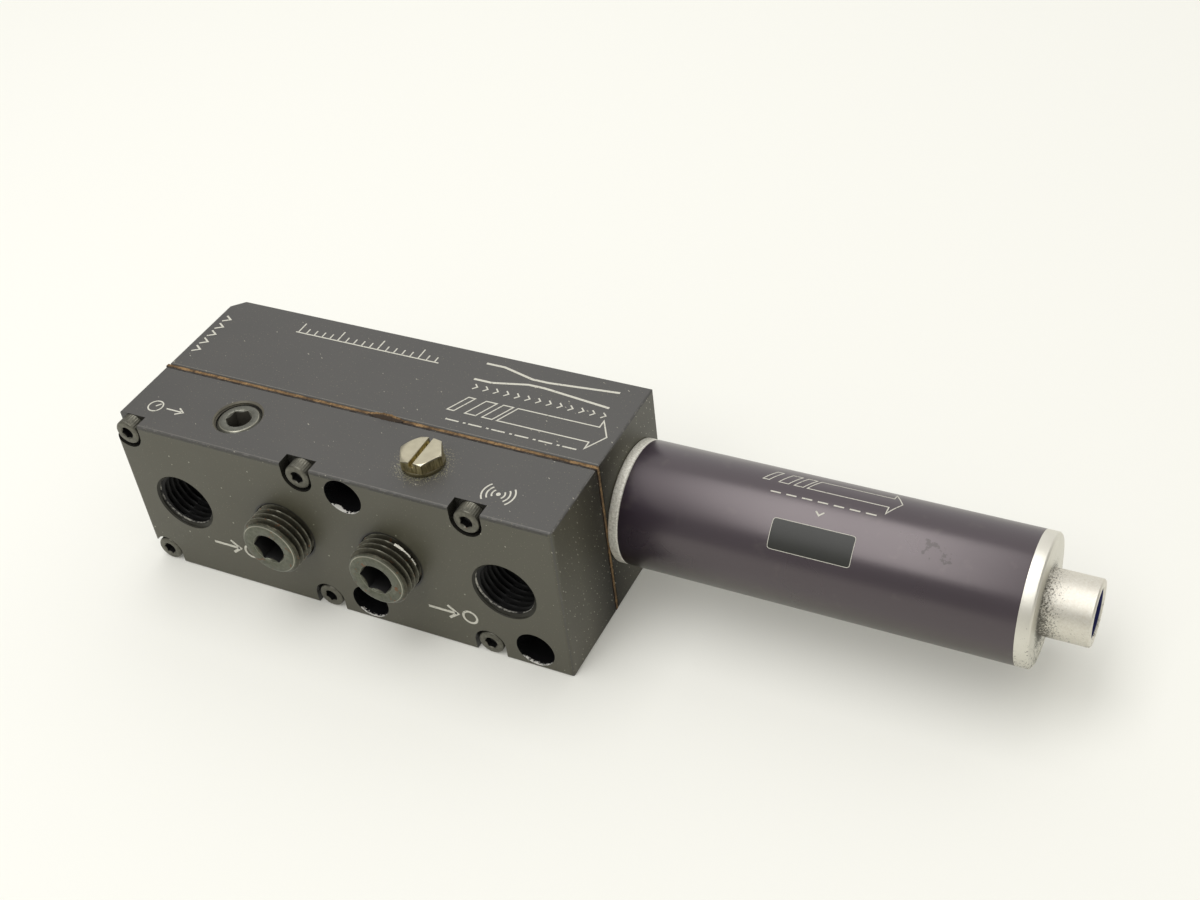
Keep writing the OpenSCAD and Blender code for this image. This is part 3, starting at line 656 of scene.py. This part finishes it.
def turned_aluminium():
    """Aluminium turned on a lathe: bright and satin, with fine rings round the
    axis, and black exhaust grime caked where the nipple meets the cap."""
    m, t, mm, _, base = start("turned_aluminium", "#e3e1d8", "#d6d3c8", 0.3, 4.0)
    axis = add(t, "VectorMath SUBTRACT", mm, (0.0, 0.0, AXIS_Z))
    x, y, up = add(t, "SeparateXYZ", axis).outputs
    flat = add(t, "CombineXYZ", 0.0, y, up)
    radius = add(t, "VectorMath LENGTH", flat)
    tool = add(t, "CombineXYZ", x, radius)
    rings = add(t, "TexNoise", tool, Scale=5.0, Detail=3.0, Roughness=0.6)
    # the nipple is scuffed, and the inlet cap is dull and stained
    nipple = add(t, "Math GREATER_THAN", x, RIM_X + 0.1)
    inlet = add(t, "Math LESS_THAN", x, TUBE_LOW[0])
    stain = add(t, "TexNoise", mm, Scale=2.2, Detail=6.0, Roughness=0.7)
    scuffs = add(t, "MapRange", stain, 0.3, 0.7, 0.15, 0.6)
    stains = add(t, "MapRange", stain, 0.35, 0.7)
    scuffed, stained = (
        add(t, "Mix", mask, colour(dark), colour(light), data_type="RGBA")
        for mask, dark, light in ((scuffs, "#e8e6de", "#c4bcab"), (stains, "#fbf9f0", "#c6c3b5"))
    )
    # grime: thickest at the root of the nipple, thinning out along it
    off = add(t, "Math SUBTRACT", x, RIM_X)
    fade = add(t, "MapRange", off, -0.2, 7.5, 1.05, 0.0)
    ring = add(t, "MapRange", radius, 6.3, 10.5, 1.0, 0.0)
    face = add(t, "Math GREATER_THAN", off, -2.5)
    low = add(t, "MapRange", up, -7.0, 7.0, 1.15, 0.65)
    amount = fade
    for part in (ring, low, face):
        amount = add(t, "Math MULTIPLY", amount, part)
    specks = add(t, "TexNoise", mm, Scale=3.0, Detail=6.0, Roughness=0.75)
    limit = add(t, "MapRange", amount, 0.0, 1.0, 0.75, 0.36)
    caked = add(t, "Math SUBTRACT", specks, limit)
    caked = add(t, "MapRange", caked, -0.02, 0.07)
    # and in single specks low on the rim
    coarse = add(t, "TexNoise", mm, Scale=1.3, Detail=6.0, Roughness=0.8)
    limit = add(t, "MapRange", up, -8.0, 5.0, 0.52, 0.67)
    single = add(t, "Math SUBTRACT", coarse, limit)
    single = add(t, "MapRange", single, -0.01, 0.04, 0.0, face)
    caked = add(t, "Math MAXIMUM", caked, single)
    caked = add(t, "Math MULTIPLY", caked, 0.85)
    # painted shade with a blue tone: the bore of the nipple is painted blue-black
    deep = add(t, "MapRange", x, NIPPLE_END - 0.35, NIPPLE_END - 0.25, 1.0, 0.0)
    bore = add(t, "Math LESS_THAN", radius, 4.72)
    bore = add(t, "Math MULTIPLY", bore, deep)
    soiled = add(t, "Math MULTIPLY", inlet, 0.5)
    for part in (caked, bore):
        soiled = add(t, "Math MAXIMUM", soiled, part)
    metal = add(t, "Math SUBTRACT", 1.0, soiled)
    smooth = add(t, "MapRange", inlet, 0.0, 1.0, 0.46, 0.6)
    rough = add(t, "MapRange", caked, 0.0, 1.0, smooth, 0.8)
    return finished(
        m, base, [(nipple, scuffed), (inlet, stained), (caked, "#3d3a2f"), (bore, "#152068")],
        (rings, 0.4, 0.06), Metallic=metal, Roughness=rough)


def phosphated_steel(name, dark, light, rust, axes=(), crest=0.0):
    """Phosphated steel, oily: olive grey with a soft mottle and a few small
    spots of brown rust. Round the axes of threaded plugs the crests are rubbed
    to a paler grey that is also a painted highlight, and the flanks are dark
    with oil and painted shade, and brown in places."""
    m, t, mm, cloud, base = start(name, dark, light, 1.1, 6.0, 0.7, 0.3, 0.75)
    worn = add(t, "MapRange", cloud, 0.3, 0.75)
    coats = []
    if axes:
        x, y, z = add(t, "SeparateXYZ", mm).outputs
        level = add(t, "CombineXYZ", x, 0.0, z)
        near = 99.0
        for axis_x in axes:
            reach = add(t, "VectorMath DISTANCE", level, (axis_x, 0.0, AXIS_Z))
            near = add(t, "Math MINIMUM", reach, near)
        side = add(t, "Math GREATER_THAN", y, PLUG_FACE_Y + 0.3)
        # oil with painted shade: the flanks of the thread are darker
        flank = add(t, "Mix", worn, colour("#38372f"), colour("#565344"), data_type="RGBA")
        # wear with a painted highlight: the crests are paler
        top = add(t, "MapRange", near, crest - 0.16, crest - 0.04, 0.0, side)
        bite = add(t, "MapRange", cloud, 0.35, 0.6, 0.35, 1.0)
        top = add(t, "Math MULTIPLY", top, bite)
        coats = [(side, flank), (top, "#77766a")]
    spots = add(t, "TexNoise", mm, Scale=0.75, Detail=4.0, Roughness=0.65)
    spots = add(t, "MapRange", spots, rust, rust + 0.05)
    rough = add(t, "MapRange", worn, 0.0, 1.0, 0.42, 0.32)
    grain = add(t, "TexNoise", mm, Scale=3.0, Detail=4.0)
    return finished(m, base, [*coats, (spots, "#6e4a30")], (grain, 0.25, 0.05),
                    Roughness=rough, Metallic=0.7)


def nickel_plate():
    """Dull nickel plate on brass: pale and scratched on the flat top, worn to
    brass and streaked with grime down the sides and in the slot."""
    m, t, mm, _, base = start("nickel_plated_brass", "#b0a994", "#cbc5ae", 0.7, 4.0)
    streak = add(t, "VectorMath MULTIPLY", mm, (1.0, 1.0, 0.15))
    streak = add(t, "TexNoise", streak, Scale=2.2, Detail=4.0)
    streak = add(t, "MapRange", streak, 0.35, 0.62)
    side = add(t, "Mix", streak, colour("#8a7f5c"), colour("#d2c698"), data_type="RGBA")
    z = add(t, "SeparateXYZ", mm).outputs[2]
    low = add(t, "MapRange", z, PLUG_TOP - 0.42, PLUG_TOP - 0.3, 1.0, 0.0)
    wiped = add(t, "VectorMath MULTIPLY", mm, (1.2, 9.0, 2.0))
    scratch = add(t, "TexNoise", wiped, Scale=1.0, Detail=3.0)
    rough = add(t, "MapRange", scratch, 0.3, 0.7, 0.28, 0.42)
    return finished(m, base, [(low, side)], (scratch, 0.15, 0.03), Roughness=rough, Metallic=1.0)


def fibre_gasket():
    """Pressed fibre sheet with a cut edge: tan, with darker oily stretches, and
    painted shade with oil along its side next to the manifold.
    """
    m, t, mm, cloud, base = start(
        "pressed_fibre_gasket", "#5a4428", "#97784f", 0.35, 5.0, 0.7, 0.38, 0.62)
    # the side next to the manifold is dark with painted shade in the joint, and with oil
    y = add(t, "SeparateXYZ", mm).outputs[1]
    ragged = add(t, "MapRange", cloud, 0.0, 1.0, -0.25, 0.25)
    depth = add(t, "Math ADD", y, ragged)
    oil_and_joint_shade = add(t, "MapRange", depth, JOINT_Y + 0.05, JOINT_Y + 0.25, 1.0, 0.0)
    crumbs = add(t, "TexNoise", mm, Scale=1.8, Detail=3.0, Roughness=0.7)
    crumbs = add(t, "MapRange", crumbs, 0.5, 0.6, 0.0, 0.7)
    fibre = add(t, "VectorMath MULTIPLY", mm, (2.0, 9.0, 9.0))
    fray = add(t, "TexNoise", fibre, Scale=1.0, Detail=3.0)
    return finished(m, base, [(oil_and_joint_shade, "#33271b"), (crumbs, "#3b2c1c")], (fray, 0.5, 0.15),
                    Roughness=0.85)


def plain_finish(name, dark, light, metallic, roughness, grain_scale, grain_strength):
    """A turned, moulded or foamed finish in two close tones with one grain."""
    m, t, mm, _, base = start(name, dark, light, 0.4, 3.0)
    grain = add(t, "TexNoise", mm, Scale=grain_scale, Detail=2.0)
    return finished(m, base, relief=(grain, grain_strength, 0.06),
                    Metallic=metallic, Roughness=roughness)


def marking_ink():
    """Pale screen-printed ink: matt, slightly worn away in fine pits."""
    m, *_, base = start(
        "pale_marking_ink", "#c9c7bb", "#7c7a72", 2.5, 4.0, 0.5, 0.6, 0.72)
    return finished(m, base, Roughness=0.6)


BLOCK = black_anodised_block()
TUBE = black_anodised_tube()
TURNED = turned_aluminium()
THREAD = shaded_oily_thread()
NICKEL = nickel_plate()
FIBRE = fibre_gasket()
INK = marking_ink()
PLUG = phosphated_steel(
    "phosphated_steel_plug", "#4d4f44", "#6b6d5f", 0.62,
    [np.mean(corners(f"port_plug_{i}"), 0)[0] for i in (1, 2)], PLUG_CREST_R)
GAUGE = phosphated_steel("rubbed_steel_plug", "#5d5d56", "#74746b", 0.7)
SCREW = phosphated_steel("oiled_steel_screw", "#504f46", "#77756a", 0.7)
# steel burnished by keys and hands, with a painted highlight on the machined edges, and a pale
# cream streak
RUBBED_EDGE_HIGHLIGHT = plain_finish("rubbed_steel_edge_painted_highlight", "#8d8b7e", "#aaa89a", 0.8, 0.32, 3.0, 0.2)
PALE_STREAK = plain_finish("pale_streak_finish", "#f6f3e2", "#fcfaf0", 0.0, 0.4, 3.0, 0.2)
# anodising worn thin and grey where a port is countersunk
WORN_MOUTH = plain_finish("worn_countersink", "#4b4944", "#716c5c", 0.2, 0.5, 2.0, 0.4)
# socket walls painted black as shade, with old oil, and dull where dry dust lies on it
SOCKET = plain_finish("oily_socket_painted_shade", "#0b0b0b", "#191817", 0.0, 0.4, 2.0, 0.3)
DUSTY_SOCKET = plain_finish("dusty_socket", "#24221b", "#46433a", 0.0, 0.8, 2.5, 0.5)
# moulded rubber, matt: brown where brass dust is rubbed into it
OILY = plain_finish("rubber_with_brass_dust", "#2b2819", "#6a6140", 0.2, 0.45, 3.0, 0.4)
RUBBER = plain_finish("nitrile_rubber", "#171717", "#222120", 0.0, 0.6, 3.0, 0.2)
# metal turned, drawn or wound, clean and bright because it is inside
BRASS = plain_finish("turned_brass", "#a5844a", "#bb9a5c", 1.0, 0.3, 4.0, 0.15)
BRIGHT = plain_finish("bright_turned_aluminium", "#bfc0c2", "#cdced0", 1.0, 0.32, 4.0, 0.15)
SPRING = plain_finish("bright_spring_steel", "#8d8f92", "#a3a5a8", 1.0, 0.28, 4.0, 0.1)
# open-cell foam, dyed blue and quite matt, and an even field of black ink
FOAM = plain_finish("dark_blue_foam", "#131a3a", "#202b5c", 0.0, 0.9, 1.6, 0.8)
PLATE = plain_finish("black_printed_field", "#1b1c18", "#23241f", 0.0, 0.42, 3.0, 0.05)

KEPT = {
    "venturi_block": BLOCK, "manifold_block": BLOCK, "block_gasket": FIBRE,
    "air_nozzle": BRASS, "nozzle_o_ring": RUBBER, "nozzle_snap_ring": SPRING,
    "diffuser_tube": BRIGHT, "diffuser_o_ring_1": RUBBER,
    "diffuser_o_ring_2": RUBBER, "silencer_liner": BRIGHT,
    "silencer_packing": FOAM,
}
for node_name, material in KEPT.items():
    for material_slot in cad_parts[node_name].material_slots:
        material_slot.material = material

# ------------------------------------------------------------- silencer

tube_wall = 1.5
spigot_r = TUBE_R - tube_wall - 0.03
bore_r = 4.65
socket_r = bore_r + 1.02
nipple_r = 6.35
exhaust_r = 8.45
on_axis = (0, 0, AXIS_Z)
tube = piece("silencer_tube_finish", [turned([
    (TUBE_LOW[0], TUBE_R), (TUBE_HIGH[0], TUBE_R),
    (TUBE_HIGH[0], TUBE_R - tube_wall), (TUBE_LOW[0], TUBE_R - tube_wall),
], on_axis, ALONG_X, 256, 0.08)], TUBE)
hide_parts("silencer_tube")

cap_low, cap_high = corners("silencer_outlet_cap")
outlet = piece("silencer_outlet_cap_finish", [turned([
    (cap_low[0] + 2, bore_r), (cap_low[0] + 2, socket_r), (cap_low[0], socket_r),
    (cap_low[0], spigot_r), (TUBE_HIGH[0], spigot_r), (TUBE_HIGH[0], TUBE_R),
    (RIM_X - 0.35, TUBE_R), (RIM_X, TUBE_R - 0.35), (RIM_X, nipple_r),
    (cap_high[0] - 0.25, nipple_r), (cap_high[0], nipple_r - 0.25),
    (cap_high[0], bore_r + 0.3), (cap_high[0] - 0.3, bore_r),
], on_axis, ALONG_X, 256, 0.06)], TURNED)
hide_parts("silencer_outlet_cap")

cap_low, cap_high = corners("silencer_inlet_cap")
socket_r = bore_r + 1.03
inlet = piece("silencer_inlet_cap_finish", [turned([
    (cap_low[0], bore_r), (cap_low[0], exhaust_r - 0.8), (cap_low[0] + 0.8, exhaust_r),
    (RIGHT_X, exhaust_r), (RIGHT_X, TUBE_R - 0.2), (RIGHT_X + 0.2, TUBE_R),
    (TUBE_LOW[0] - 0.3, TUBE_R), (TUBE_LOW[0], TUBE_R - 0.3), (TUBE_LOW[0], spigot_r),
    (cap_high[0], spigot_r), (cap_high[0], socket_r),
    (cap_high[0] - 2, socket_r), (cap_high[0] - 2, bore_r),
], on_axis, ALONG_X, 256, 0.1)], TURNED)
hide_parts("silencer_inlet_cap")

# ------------------------------------------------------ plugs and ports

# faces of a plug: the socket's walls, painted dark as shade, then the machined edges, rubbed and
# painted with a highlight
PLUG_BANDS = [
    (first * PLUG_POINTS, last * PLUG_POINTS, finish)
    for first, last, finish in ((0, 4, SOCKET), (6, 7, RUBBED_EDGE_HIGHLIGHT), (8, 10, RUBBED_EDGE_HIGHLIGHT))
]
for number, turn in enumerate(PLUG_TURNS, 1):
    low, high = corners(f"port_plug_{number}")
    middle = (low + high) / 2
    plug = piece(f"port_plug_{number}_threaded", [socket_plug(
        (middle[0], low[1], middle[2]), INTO_FRONT, face_r=6.2, crest_r=PLUG_CREST_R,
        root_r=5.75, pitch=PIPE_PITCH, length=high[1] - low[1], key=6.35,
        socket_d=5.0, turn=turn, flat_r=5.85)], PLUG, bands=PLUG_BANDS)
    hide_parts(f"port_plug_{number}")

low, high = corners("gauge_port_plug")
middle = (low + high) / 2
gauge = piece("gauge_port_plug_threaded", [socket_plug(
    (middle[0], middle[1], high[2]), INTO_TOP, face_r=4.3, crest_r=5.05,
    root_r=4.35, pitch=SMALL_PIPE_PITCH, length=high[2] - low[2], key=4.76,
    socket_d=4.0, turn=38, flat_r=4.05)], GAUGE,
    bands=[(*PLUG_BANDS[0][:2], DUSTY_SOCKET), *PLUG_BANDS[1:]])
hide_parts("gauge_port_plug")

# radii of a port's bore, mouth and thread crests, and its pitch
PORT = (6.85, 6.98, 5.95, PIPE_PITCH)
GAUGE_PORT = (5.1, 5.275, 4.8, SMALL_PIPE_PITCH)
END_INSET = 12.7
piece("vacuum_port_threads", [
    port_thread((x, FRONT_Y, AXIS_Z), INTO_FRONT, *PORT, 10.4)
    for x in (LEFT_X + END_INSET, RIGHT_X - END_INSET)
], THREAD)
piece("air_supply_thread", [
    port_thread((LEFT_X, 0, AXIS_Z), ALONG_X, *PORT, 9.4)
], BLOCK)
piece("gauge_port_thread", [
    port_thread((middle[0], MANIFOLD_MID_Y, TOP_Z), INTO_TOP, *GAUGE_PORT, 0.8)
], WORN_MOUTH)

# --------------------------------------------------------- block screws

head_r = 2.75
head_h = 2.9
shank_r = 1.45
first_to_middle = 42.05
turns = (12, 40, 3, 51, 26, 33)
low, high = corners("block_screws")
screw_z = (low[2] + head_r, high[2] - head_r)
screw_x = (low[0] + head_r, low[0] + head_r + first_to_middle, high[0] - head_r)
# the screws' socket walls carry painted shade
screws = piece("block_screws_finish", [
    cap_screw((x, low[1] + head_h, z), INTO_FRONT, head_r, head_h, shank_r,
              high[1] - low[1] - head_h, key=2.5, socket_d=1.5, turn=turn)
    for (x, z), turn in zip([(x, z) for z in screw_z for x in screw_x], turns)
], SCREW, bands=[(0, 3 * SCREW_POINTS, SOCKET)])
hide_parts("block_screws")

# ---------------------------------------------------------- sensor plug

low, high = corners("sensor_port_plug")
seal_low, seal_high = corners("sensor_plug_seal")
middle = (low + high) / 2
head_z = seal_high[2]
shank_r = 2.36
head = slotted_hexagon(
    (middle[0], middle[1], head_z), (high[0] - low[0]) / 2, high[2] - head_z,
    slot_w=0.95, slot_d=1.2, bevel=0.6)
shank = turned([
    (low[2], 0.01), (low[2], 2.05), (low[2] + 0.3, shank_r),
    (head_z + 0.2, shank_r), (head_z + 0.2, 0.01),
], (middle[0], middle[1], 0), UP_FROM_TOP, 64, 0.05)
sensor = piece("sensor_port_plug_finish", [head, shank], NICKEL, 24)
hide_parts("sensor_port_plug")
seal_r = (seal_high[0] - seal_low[0]) / 2
hole_r = 2.45
seal = piece("sensor_plug_seal_finish", [turned([
    (seal_low[2], hole_r), (seal_low[2], seal_r), (head_z, seal_r), (head_z, hole_r),
], (middle[0], middle[1], 0), UP_FROM_TOP, 128, 0.3)], OILY)
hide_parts("sensor_plug_seal")

# --------------------------------------------- torn gasket, pale streak


def torn_sliver(x0, x1, deepest, tallest, count=40):
    """Torn lip of the gasket that leans over the manifold along the joint. At a
    fraction t of its length it is tallest * sin(pi * t ** 1.2) high on the
    sheet and reaches deepest * sin(pi * t ** 1.2) over the manifold, both with a
    ragged ripple of three sines. Its slope falls as (1 - u) ** 0.8."""
    t = np.linspace(0.01, 0.99, count)
    swell = np.sin(math.pi * t**1.2)
    ragged = 0.05 * np.sin(31 * t) + 0.04 * np.sin(57 * t + 1) + 0.03 * np.sin(83 * t + 2)
    ragged = ragged * np.sqrt(t * (1 - t)) * 2 + 0.03
    across = np.array([0.0, 0.15, 0.4, 0.7, 1.0])
    y = JOINT_Y + 0.5 - (0.5 + deepest * swell + ragged)[:, None] * across
    x = np.repeat((x0 + (x1 - x0) * t)[:, None], len(across), 1)
    slope = (tallest * swell + ragged)[:, None] * (1 - across) ** 0.8
    upper = np.stack([x, y, TOP_Z + 0.01 + slope], -1)
    lower = np.stack([x, y, TOP_Z + 0.005 + 0 * y], -1)[:, ::-1]
    return shell(np.concatenate([upper, lower], 1))


piece("gasket_sliver", [torn_sliver(-0.4, 8.0, 0.65, 0.75)], FIBRE)


def on_crest(arc_y, h):
    """Thread crest of port plug 2, a hair up: length of arc round its axis,
    and y."""
    middle = np.mean(corners("port_plug_2"), 0)
    angle, r = arc_y[:, 0] / PLUG_CREST_R, PLUG_CREST_R + 0.02 + h
    return np.column_stack([
        middle[0] + r * np.cos(angle), arc_y[:, 1], middle[2] + r * np.sin(angle)
    ])


# the pale streak follows the third crest, with the thread's own lead
pale_streak = []
for first, last, width in ((15, 29, 0.22), (32, 56, 0.26), (49, 66, 0.55)):
    angle = np.radians(np.linspace(first, last, 24))
    lead = (angle + math.radians(PLUG_TURNS[1])) / TURN
    crest_y = PLUG_FACE_Y + PIPE_PITCH * (3.5 - lead)
    pale_streak.append(stroke(np.column_stack([angle * PLUG_CREST_R, crest_y]), width, on_crest))
piece("port_plug_2_pale_streak", pale_streak, PALE_STREAK)

# -------------------------------------------------- marks on the pieces

marks = flow_arrow(14.4, 48.6, -4.3, 4.7, 8.7, on_top, 0.28)
wall_x = np.array([14.8, 19.0, 26.4, 30.0, 45.2])
wall_y = np.array([2.7, 2.7, 0.9, 0.9, 2.5])
marks += [stroke(points, width, on_top) for width, points in (
    # drawing of a venturi: two walls that close to a throat and open again
    *((0.55, np.column_stack([wall_x, 6.4 + s * wall_y])) for s in (1, -1)),
    # row of small chevrons that point down the flow
    *((0.3, [(x, 0.7), (x + 0.8, 1.5), (x, 2.3)]) for x in np.arange(16.0, 45.0, 2.4)),
    # long and short dashes under the arrow
    *((0.34, [(x, -9.4), (x + 3.0, -9.4)]) for x in np.arange(15.6, 42.0, 5.2)),
    *((0.34, [(x, -9.4), (x + 0.6, -9.4)]) for x in np.arange(19.6, 44.0, 5.2)),
    # graduated scale: a tick every 2 mm, a longer one every 10 mm
    (0.3, [(-30.6, 6.0), (5.0, 6.0)]),
    *((0.3, [(x, 6.1), (x, 7.7 if x % 10 else 9.2)]) for x in range(-30, 5, 2)),
    # chevrons that point in at the air supply
    *((0.38, [(-49.0, y + 1.0), (-47.4, y), (-49.0, y - 1.0)])
      for y in (-6.0, -3.2, -0.4, 2.4, 5.2)),
    # hand of a dial, and an arrow, for the gauge port
    (0.34, [(-44.4, -25.3), (-43.6, -24.4)]),
    (0.34, [(-41.6, -25.3), (-37.6, -25.3)]),
    (0.34, [(-38.9, -24.3), (-37.4, -25.3), (-38.9, -26.3)]),
    # waves both ways for the sensor port
    *((0.32, arc(36.5, -25.7, r, mid - 42, mid + 42, 12))
      for r in (1.3, 2.3, 3.3) for mid in (0, 180)),
)]
# the dial, and the dot that the waves leave
marks += [
    stroke(arc(-44.4, -25.3, 1.6, 0, 345), 0.3, on_top, closed=True),
    stroke(arc(36.5, -25.7, 0.25, 0, 330, 12), 0.4, on_top, closed=True),
]
piece("top_marks", marks, INK)

# bold arrow into a ring for each pair of ports
front_marks = []
for x, z in ((-27.6, 9.7), (25.0, 8.9)):
    front_marks += [
        stroke([(x - 5.6, z), (x + 0.9, z)], 0.62, on_front),
        stroke([(x - 1.0, z + 1.7), (x + 1.1, z), (x - 1.0, z - 1.7)], 0.62, on_front),
        stroke(arc(x + 3.9, z, 1.55, 0, 345, 28), 0.5, on_front, closed=True),
    ]
piece("front_marks", front_marks, INK)

tube_marks = flow_arrow(78.2, 104.9, 2.9, 3.4, 7.2, on_tube, 0.2)
tube_marks += [
    stroke([(x, -1.6), (x + 2.0, -1.6)], 0.3, on_tube) for x in np.arange(80.8, 101.0, 3.1)
]
# chevron that points at the blank rating field, and the field's thin outline
x0, x1, low, high = field = (83.3, 99.3, -12.7, -6.8)
outline = eased([(x0, low), (x1, low), (x1, high), (x0, high)], 0.7, 6)
tube_marks += [
    stroke([(90.5, -3.7), (91.3, -4.5), (92.1, -3.7)], 0.3, on_tube),
    stroke(outline, 0.11, on_tube, closed=True),
]
piece("tube_marks", tube_marks, INK)
piece("tube_printed_field", [slab(*field, 0.5, on_tube, 0.012)], PLATE)

# ------------------------------------------------- floor, light, camera

WHITE_SHARE = 1 / 7


def floor_surface():
    """Large pale table top, plain and matt. A seventh of what the camera, metal
    and glass see of it is plain white, so that it stays pale in the shadows."""
    mesh = bpy.data.meshes.new("floor")
    w = 3.0
    mesh.from_pydata([(-w, -w, 0), (w, -w, 0), (w, w, 0), (-w, w, 0)], [], [(0, 1, 2, 3)])
    m = bpy.data.materials.new("matt_white_table")
    m.use_nodes = True
    t = m.node_tree
    shader = t.nodes["Principled BSDF"]
    feed(shader, Base_Color=colour("#f1f1eb"), Roughness=0.8)
    path = add(t, "LightPath")
    share = 0.0
    for ray in ("Is Camera Ray", "Is Glossy Ray", "Is Transmission Ray"):
        share = add(t, "Math MAXIMUM", path.outputs[ray], share)
    share = add(t, "Math MULTIPLY", share, WHITE_SHARE)
    white = add(t, "Emission", colour("#fffdf2"), 1.0)
    mixed = add(t, "MixShader", share, shader, white)
    feed(t.nodes["Material Output"], Surface=mixed)
    mesh.materials.append(m)
    obj = bpy.data.objects.new("floor", mesh)
    bpy.context.scene.collection.objects.link(obj)


floor_surface()

world = bpy.data.worlds.new("soft_room")
bpy.context.scene.world = world
world.use_nodes = True
feed(world.node_tree.nodes["Background"], Color=(1.0, 0.985, 0.94, 1.0), Strength=0.49)


def lamp(name, position, target, width, depth, power):
    """Rectangular soft box at a position, turned to face a target, in metres."""
    data = bpy.data.lights.new(name, "AREA")
    data.shape = "RECTANGLE"
    data.size = width
    data.size_y = depth
    data.energy = power
    data.color = (1.0, 0.995, 0.995)
    obj = bpy.data.objects.new(name, data)
    aim = Vector(target) - Vector(position)
    turn = aim.to_track_quat("-Z", "Y").to_matrix().to_4x4()
    obj.matrix_world = Matrix.Translation(position) @ turn
    bpy.context.scene.collection.objects.link(obj)
    return obj


lamp("overhead_soft_box", (-0.15, -0.36, 1.0), (-0.15, -0.36, 0.0), 0.54, 1.66, 9.2)
back = lamp("back_panel", (0.0, 1.2, 1.0), (0.0, 0.0, 1.0), 2.6, 2.0, 7.4)
back.visible_camera = False

camera_data = bpy.data.cameras.new("camera")
camera_data.sensor_width = 36.0
camera_data.lens = 49.489
camera = bpy.data.objects.new("camera", camera_data)
camera.matrix_world = Matrix([
    [0.894548, -0.210173, 0.394476, 0.172326],
    [0.434785, 0.613843, -0.658907, -0.214063],
    [-0.103662, 0.760936, 0.640493, 0.238369],
    [0, 0, 0, 1],
])
bpy.context.scene.collection.objects.link(camera)
bpy.context.scene.camera = camera
bpy.context.scene.view_settings.view_transform = "Standard"
